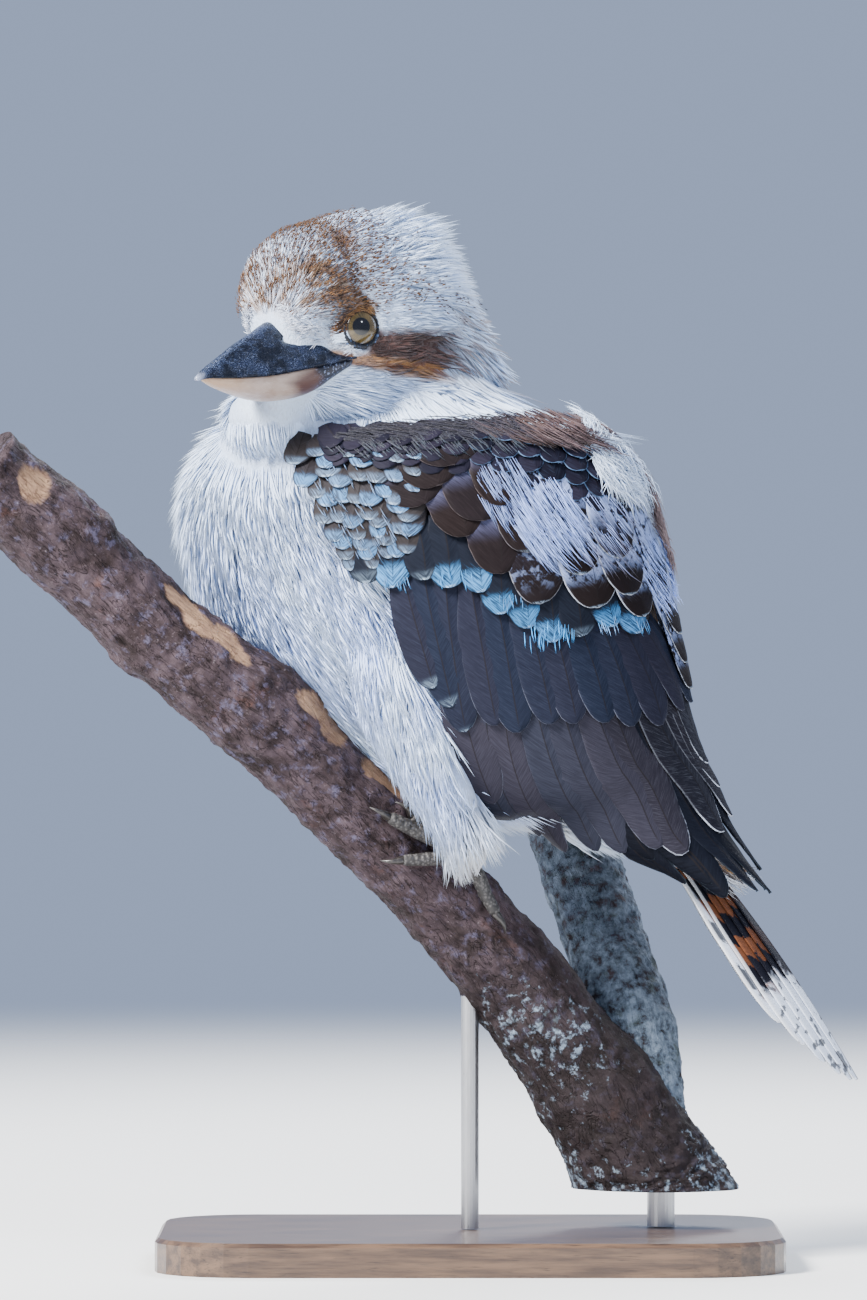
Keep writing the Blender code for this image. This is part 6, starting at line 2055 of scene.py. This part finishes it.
def keep_wear(piece, table, is_fork):
    """Keeps bare wood, lichen and sawn ends, and the place along and round the wood, on the mesh."""
    spots = points_of(piece)
    steps = np.linspace(0, len(table) - 1, 400)
    line = smooth_rows(table, steps)[:, :3]
    nearest = np.array([int(np.argmin(np.sum((line - p) ** 2, axis=1))) for p in spots])
    t = steps[nearest]
    centre, radius, _, up, sideways = tube_frame(table, t)
    offset = spots - centre
    angle = np.arctan2(np.sum(offset * sideways, axis=1), np.sum(offset * up, axis=1))
    lengths = np.concatenate(([0], np.cumsum(np.linalg.norm(np.diff(line, axis=0), axis=1))))[nearest]
    if is_fork:
        bare, lichen = 0 * t, FORK_LICHEN + 0 * t
    else:
        bare = bare_share(t, angle, tube_place(table, t, angle))
        lichen = 0.50 * ramp(*LICHEN_DEPTHS, 40 * drift(spots, 60, 8) - spots[:, 2])
    sawn = (np.linalg.norm(offset, axis=1) < radius * 0.9) & (t < 0.02)
    store_colour(piece.data, "wear", np.stack((bare, lichen, sawn.astype(float)), axis=1))
    store_values(piece.data, "course", np.stack((lengths, np.cos(angle) * 16, np.sin(angle) * 16), axis=1))


branch = bent_piece("branch", bark.material, 330, 110, branch_surface)
keep_wear(branch, BRANCH, is_fork=False)
stands_for(branch, "bark", "perch_branch")
stem = bent_piece("forked_stem", bark.material, 130, 90, fork_surface)
keep_wear(stem, FORK, is_fork=True)
stands_for(stem, "lichened_bark", "perch_fork")

# %% [markdown]
# ## Feet
# Kookaburras have weak-looking grey feet: three toes forward and one back, wrapped round the wood. Each
# toe is a tube of overlapping scutes that thins towards a curved dark claw. The path of a toe is worked
# out on the branch's own surface, so that it grips and doesn't float.

# %% Toes and claws
FOOT_HUBS = {"left": (5.35, math.radians(42)), "right": (4.35, math.radians(-38))}
TOES = [(-0.62, 8, 3.3), (-0.78, 30, 3.4), (-0.42, 52, 3.0), (0.62, 18, 3.1)]
SKIN_CLEAR = 0.35


def on_branch(t, angle, out):
    return tube_place(BRANCH, np.atleast_1d(t), np.atleast_1d(angle), np.atleast_1d(out))[0]


def toe_rows(hub_t, hub_angle, reach, sweep, radius):
    """Rows of x, y, z and radius along a toe, and then along its claw."""
    turn = 1 if hub_angle > 0 else -1
    toe = []
    for share in np.linspace(0, 1, 7):
        r = radius * (1 - 0.35 * share)
        arch = 1.2 * math.sin(math.pi * min(1, share * 1.6))
        angle = hub_angle + turn * math.radians(sweep) * share
        toe.append((*on_branch(hub_t + reach * share, angle, r + SKIN_CLEAR + arch), r))
    toe = np.array(toe)
    heading = unit(toe[-1, :3] - toe[-2, :3])
    centre = tube_frame(BRANCH, np.array([hub_t + reach]))[0][0]
    outward = unit(toe[-1, :3] - centre)
    claw = [(*(toe[-1, :3] - heading * 1.2), 1.5)]
    for share in np.linspace(0, 1, 5):
        spot = toe[-1, :3] + heading * 8.0 * share + outward * (1.6 * math.sin(math.pi * share) - 0.6 * share)
        claw.append((*spot, 1.55 * (1 - share) + 0.12))
    return toe, np.array(claw)


def tube_of(rows, scutes=0.0):
    """A place function for bent_piece: a tube through rows, with a step at each scute."""
    rows = np.asarray(rows, float)

    def place(a, b):
        t = a * (len(rows) - 1)
        spots = smooth_rows(rows, t)
        along = unit((smooth_rows(rows, t + 0.05) - smooth_rows(rows, t - 0.05))[:, :3])
        hint = np.array((0.3, 0.2, 1.0)) if np.abs(along[:, 2]).mean() < 0.8 else np.array((1.0, 0.3, 0.0))
        first = unit(np.cross(along, hint))
        second = np.cross(along, first)
        angle = b * TURN
        step = scutes * ((a * 11) % 1) * ramp(0.2, -0.4, np.cos(angle))
        end = np.sqrt(np.clip(1 - (np.maximum(np.abs(a - 0.5) - 0.44, 0) / 0.06) ** 2, 0.02, 1))
        r = spots[:, 3] * end * (1 + step)
        return spots[:, :3] + r[:, None] * swung(angle, first, second)
    return place


foot_finish = Finish("foot_scutes", specular=0.4)
spot = foot_finish.place()
scales = foot_finish.cells(spot, 1.1)
colour = foot_finish.blend((0.085, 0.080, 0.078), (0.030, 0.028, 0.028), scales.between(0.25, 0.6))
foot_finish.set(base_color=colour, roughness=foot_finish.noise(spot, 2.0) * 0.3 + 0.4)
foot_finish.bump(scales, 0.25)
claw_finish = Finish("claw_horn", specular=0.5, coat=0.2)
spot = claw_finish.place()
pale_streak = claw_finish.noise(spot, 1.5).between(0.5, 0.8)
colour = claw_finish.blend((0.020, 0.017, 0.016), (0.075, 0.065, 0.060), pale_streak)
claw_finish.set(base_color=colour, roughness=claw_finish.noise(spot, 0.8) * 0.2 + 0.25)
for key in SIDES:
    hub_t, hub_angle = FOOT_HUBS[key]
    turn = 1 if hub_angle > 0 else -1
    toes, claws = zip(*[toe_rows(hub_t, hub_angle, *toe) for toe in TOES])
    hub = on_branch(hub_t, hub_angle, 4.6)
    top = hub + (3, -2 * turn, 14)
    shank = [(*(hub - (0, 0, 1.5)), 4.4), (*(hub * 0.67 + top * 0.33), 3.7),
             (*(hub * 0.33 + top * 0.67), 3.5), (*top, 3.8)]
    places = [tube_of(rows, 0.16) for rows in toes] + [tube_of(shank, 0.10)]
    stands_for(bent_piece(f"toes_{key}", foot_finish.material, 44, 20, *places), "foot_scales", f"foot_{key}")
    stands_for(bent_piece(f"claws_{key}", claw_finish.material, 16, 14, *[tube_of(rows) for rows in claws]),
               "foot_scales")

# %% [markdown]
# ## The stand
# The museum stand is turned wood and steel: its solids already have the right shape, so they only get
# finishes.

# %% Stand finishes
stand_wood = Finish("stand_wood", specular=0.45, coat=0.3)
spot = stand_wood.place()
grain = stand_wood.noise(stand_wood.stretched(spot, 0.08, 1.0, 1.0), 3.0, 5.0, 0.6)
pores = stand_wood.noise(stand_wood.stretched(spot, 0.06, 1.0, 1.0), 0.6, 3.0, 0.6)
colour = stand_wood.layered(
    (0.045, 0.026, 0.018),
    ((0.12, 0.070, 0.042), grain.between(0.35, 0.68)),
    ((0.015, 0.009, 0.007), pores.between(0.56, 0.70) * 0.7),
)
stand_wood.set(base_color=colour, roughness=grain * 0.15 + 0.28)
stand_wood.bump(pores, 0.08)
stand_steel = Finish("stand_steel", metallic=1.0)
spot = stand_steel.place()
turned_lines = stand_steel.noise(stand_steel.stretched(spot, 1.0, 1.0, 0.1), 0.5, 3.0)
stand_steel.set(base_color=stand_steel.blend((0.42, 0.42, 0.43), (0.58, 0.58, 0.59), turned_lines),
                roughness=turned_lines * 0.2 + 0.22)
for name, finish in (("stand_base", stand_wood), ("stand_pin", stand_steel), ("stand_rod", stand_steel)):
    nodes[name].data.materials.clear()
    nodes[name].data.materials.append(finish.material)

# %% [markdown]
# ## Floor and light
# The floor is plain and pale, and fades out before it can draw a horizon behind the bird. A broad soft
# lamp stands high in front on the left, where the photograph's light comes from, with a weaker one on
# the right and one behind that lifts the edge of the white crest.

# %% Floor, lamps and world
FLOOR_RADIUS = 4000.0
FLOOR_SOLID = 700.0
FLOOR_GONE = 2300.0
PALE = (0.80, 0.80, 0.79)
LAMP_AIM = (-20, 0, 230)


def floor_sheet():
    shaped = bmesh.new()
    bmesh.ops.create_circle(shaped, cap_ends=True, segments=96, radius=FLOOR_RADIUS * MM)
    mesh = bpy.data.meshes.new("floor")
    shaped.to_mesh(mesh)
    shaped.free()
    finish = Finish("pale_floor", roughness=0.9, specular=0.1)
    x, y, _ = finish.parts(finish.place())
    away = (x * x + y * y).power(0.5)
    finish.set(alpha=away.between(FLOOR_GONE, FLOOR_SOLID))
    finish.shader.inputs["Base Color"].default_value = (*PALE, 1)
    return finish_object("floor", mesh, finish.material)


floor_sheet()


def lamp(name, place, size, power, colour, glossy=True):
    data = bpy.data.lights.new(name, "AREA")
    data.shape = "SQUARE"
    data.size = size * MM
    data.energy = power
    data.color = colour
    made = bpy.data.objects.new(name, data)
    made.location = Vector(place) * MM
    made.visible_glossy = glossy
    made.rotation_euler = (Vector(LAMP_AIM) * MM - made.location).to_track_quat("-Z", "Y").to_euler()
    bpy.context.scene.collection.objects.link(made)


lamp("key_lamp", (-1500, -1200, 1700), 700, 270, (1.0, 0.98, 0.95))
lamp("fill_lamp", (1500, -1500, 900), 1400, 16, (0.86, 0.92, 1.0), glossy=False)
lamp("catch_lamp", (900, -1450, 1500), 240, 9, (0.85, 0.92, 1.0))
lamp("rim_lamp", (500, 1500, 1400), 900, 60, (0.92, 0.95, 1.0))
world = bpy.data.worlds.new("studio")
world.use_nodes = True
world.node_tree.nodes["Background"].inputs["Color"].default_value = (0.54, 0.68, 1.0, 1)
world.node_tree.nodes["Background"].inputs["Strength"].default_value = 0.62
bpy.context.scene.world = world

# %% Sizes and finish
print("all pieces:", sum(pieces_of.values()), "triangles")
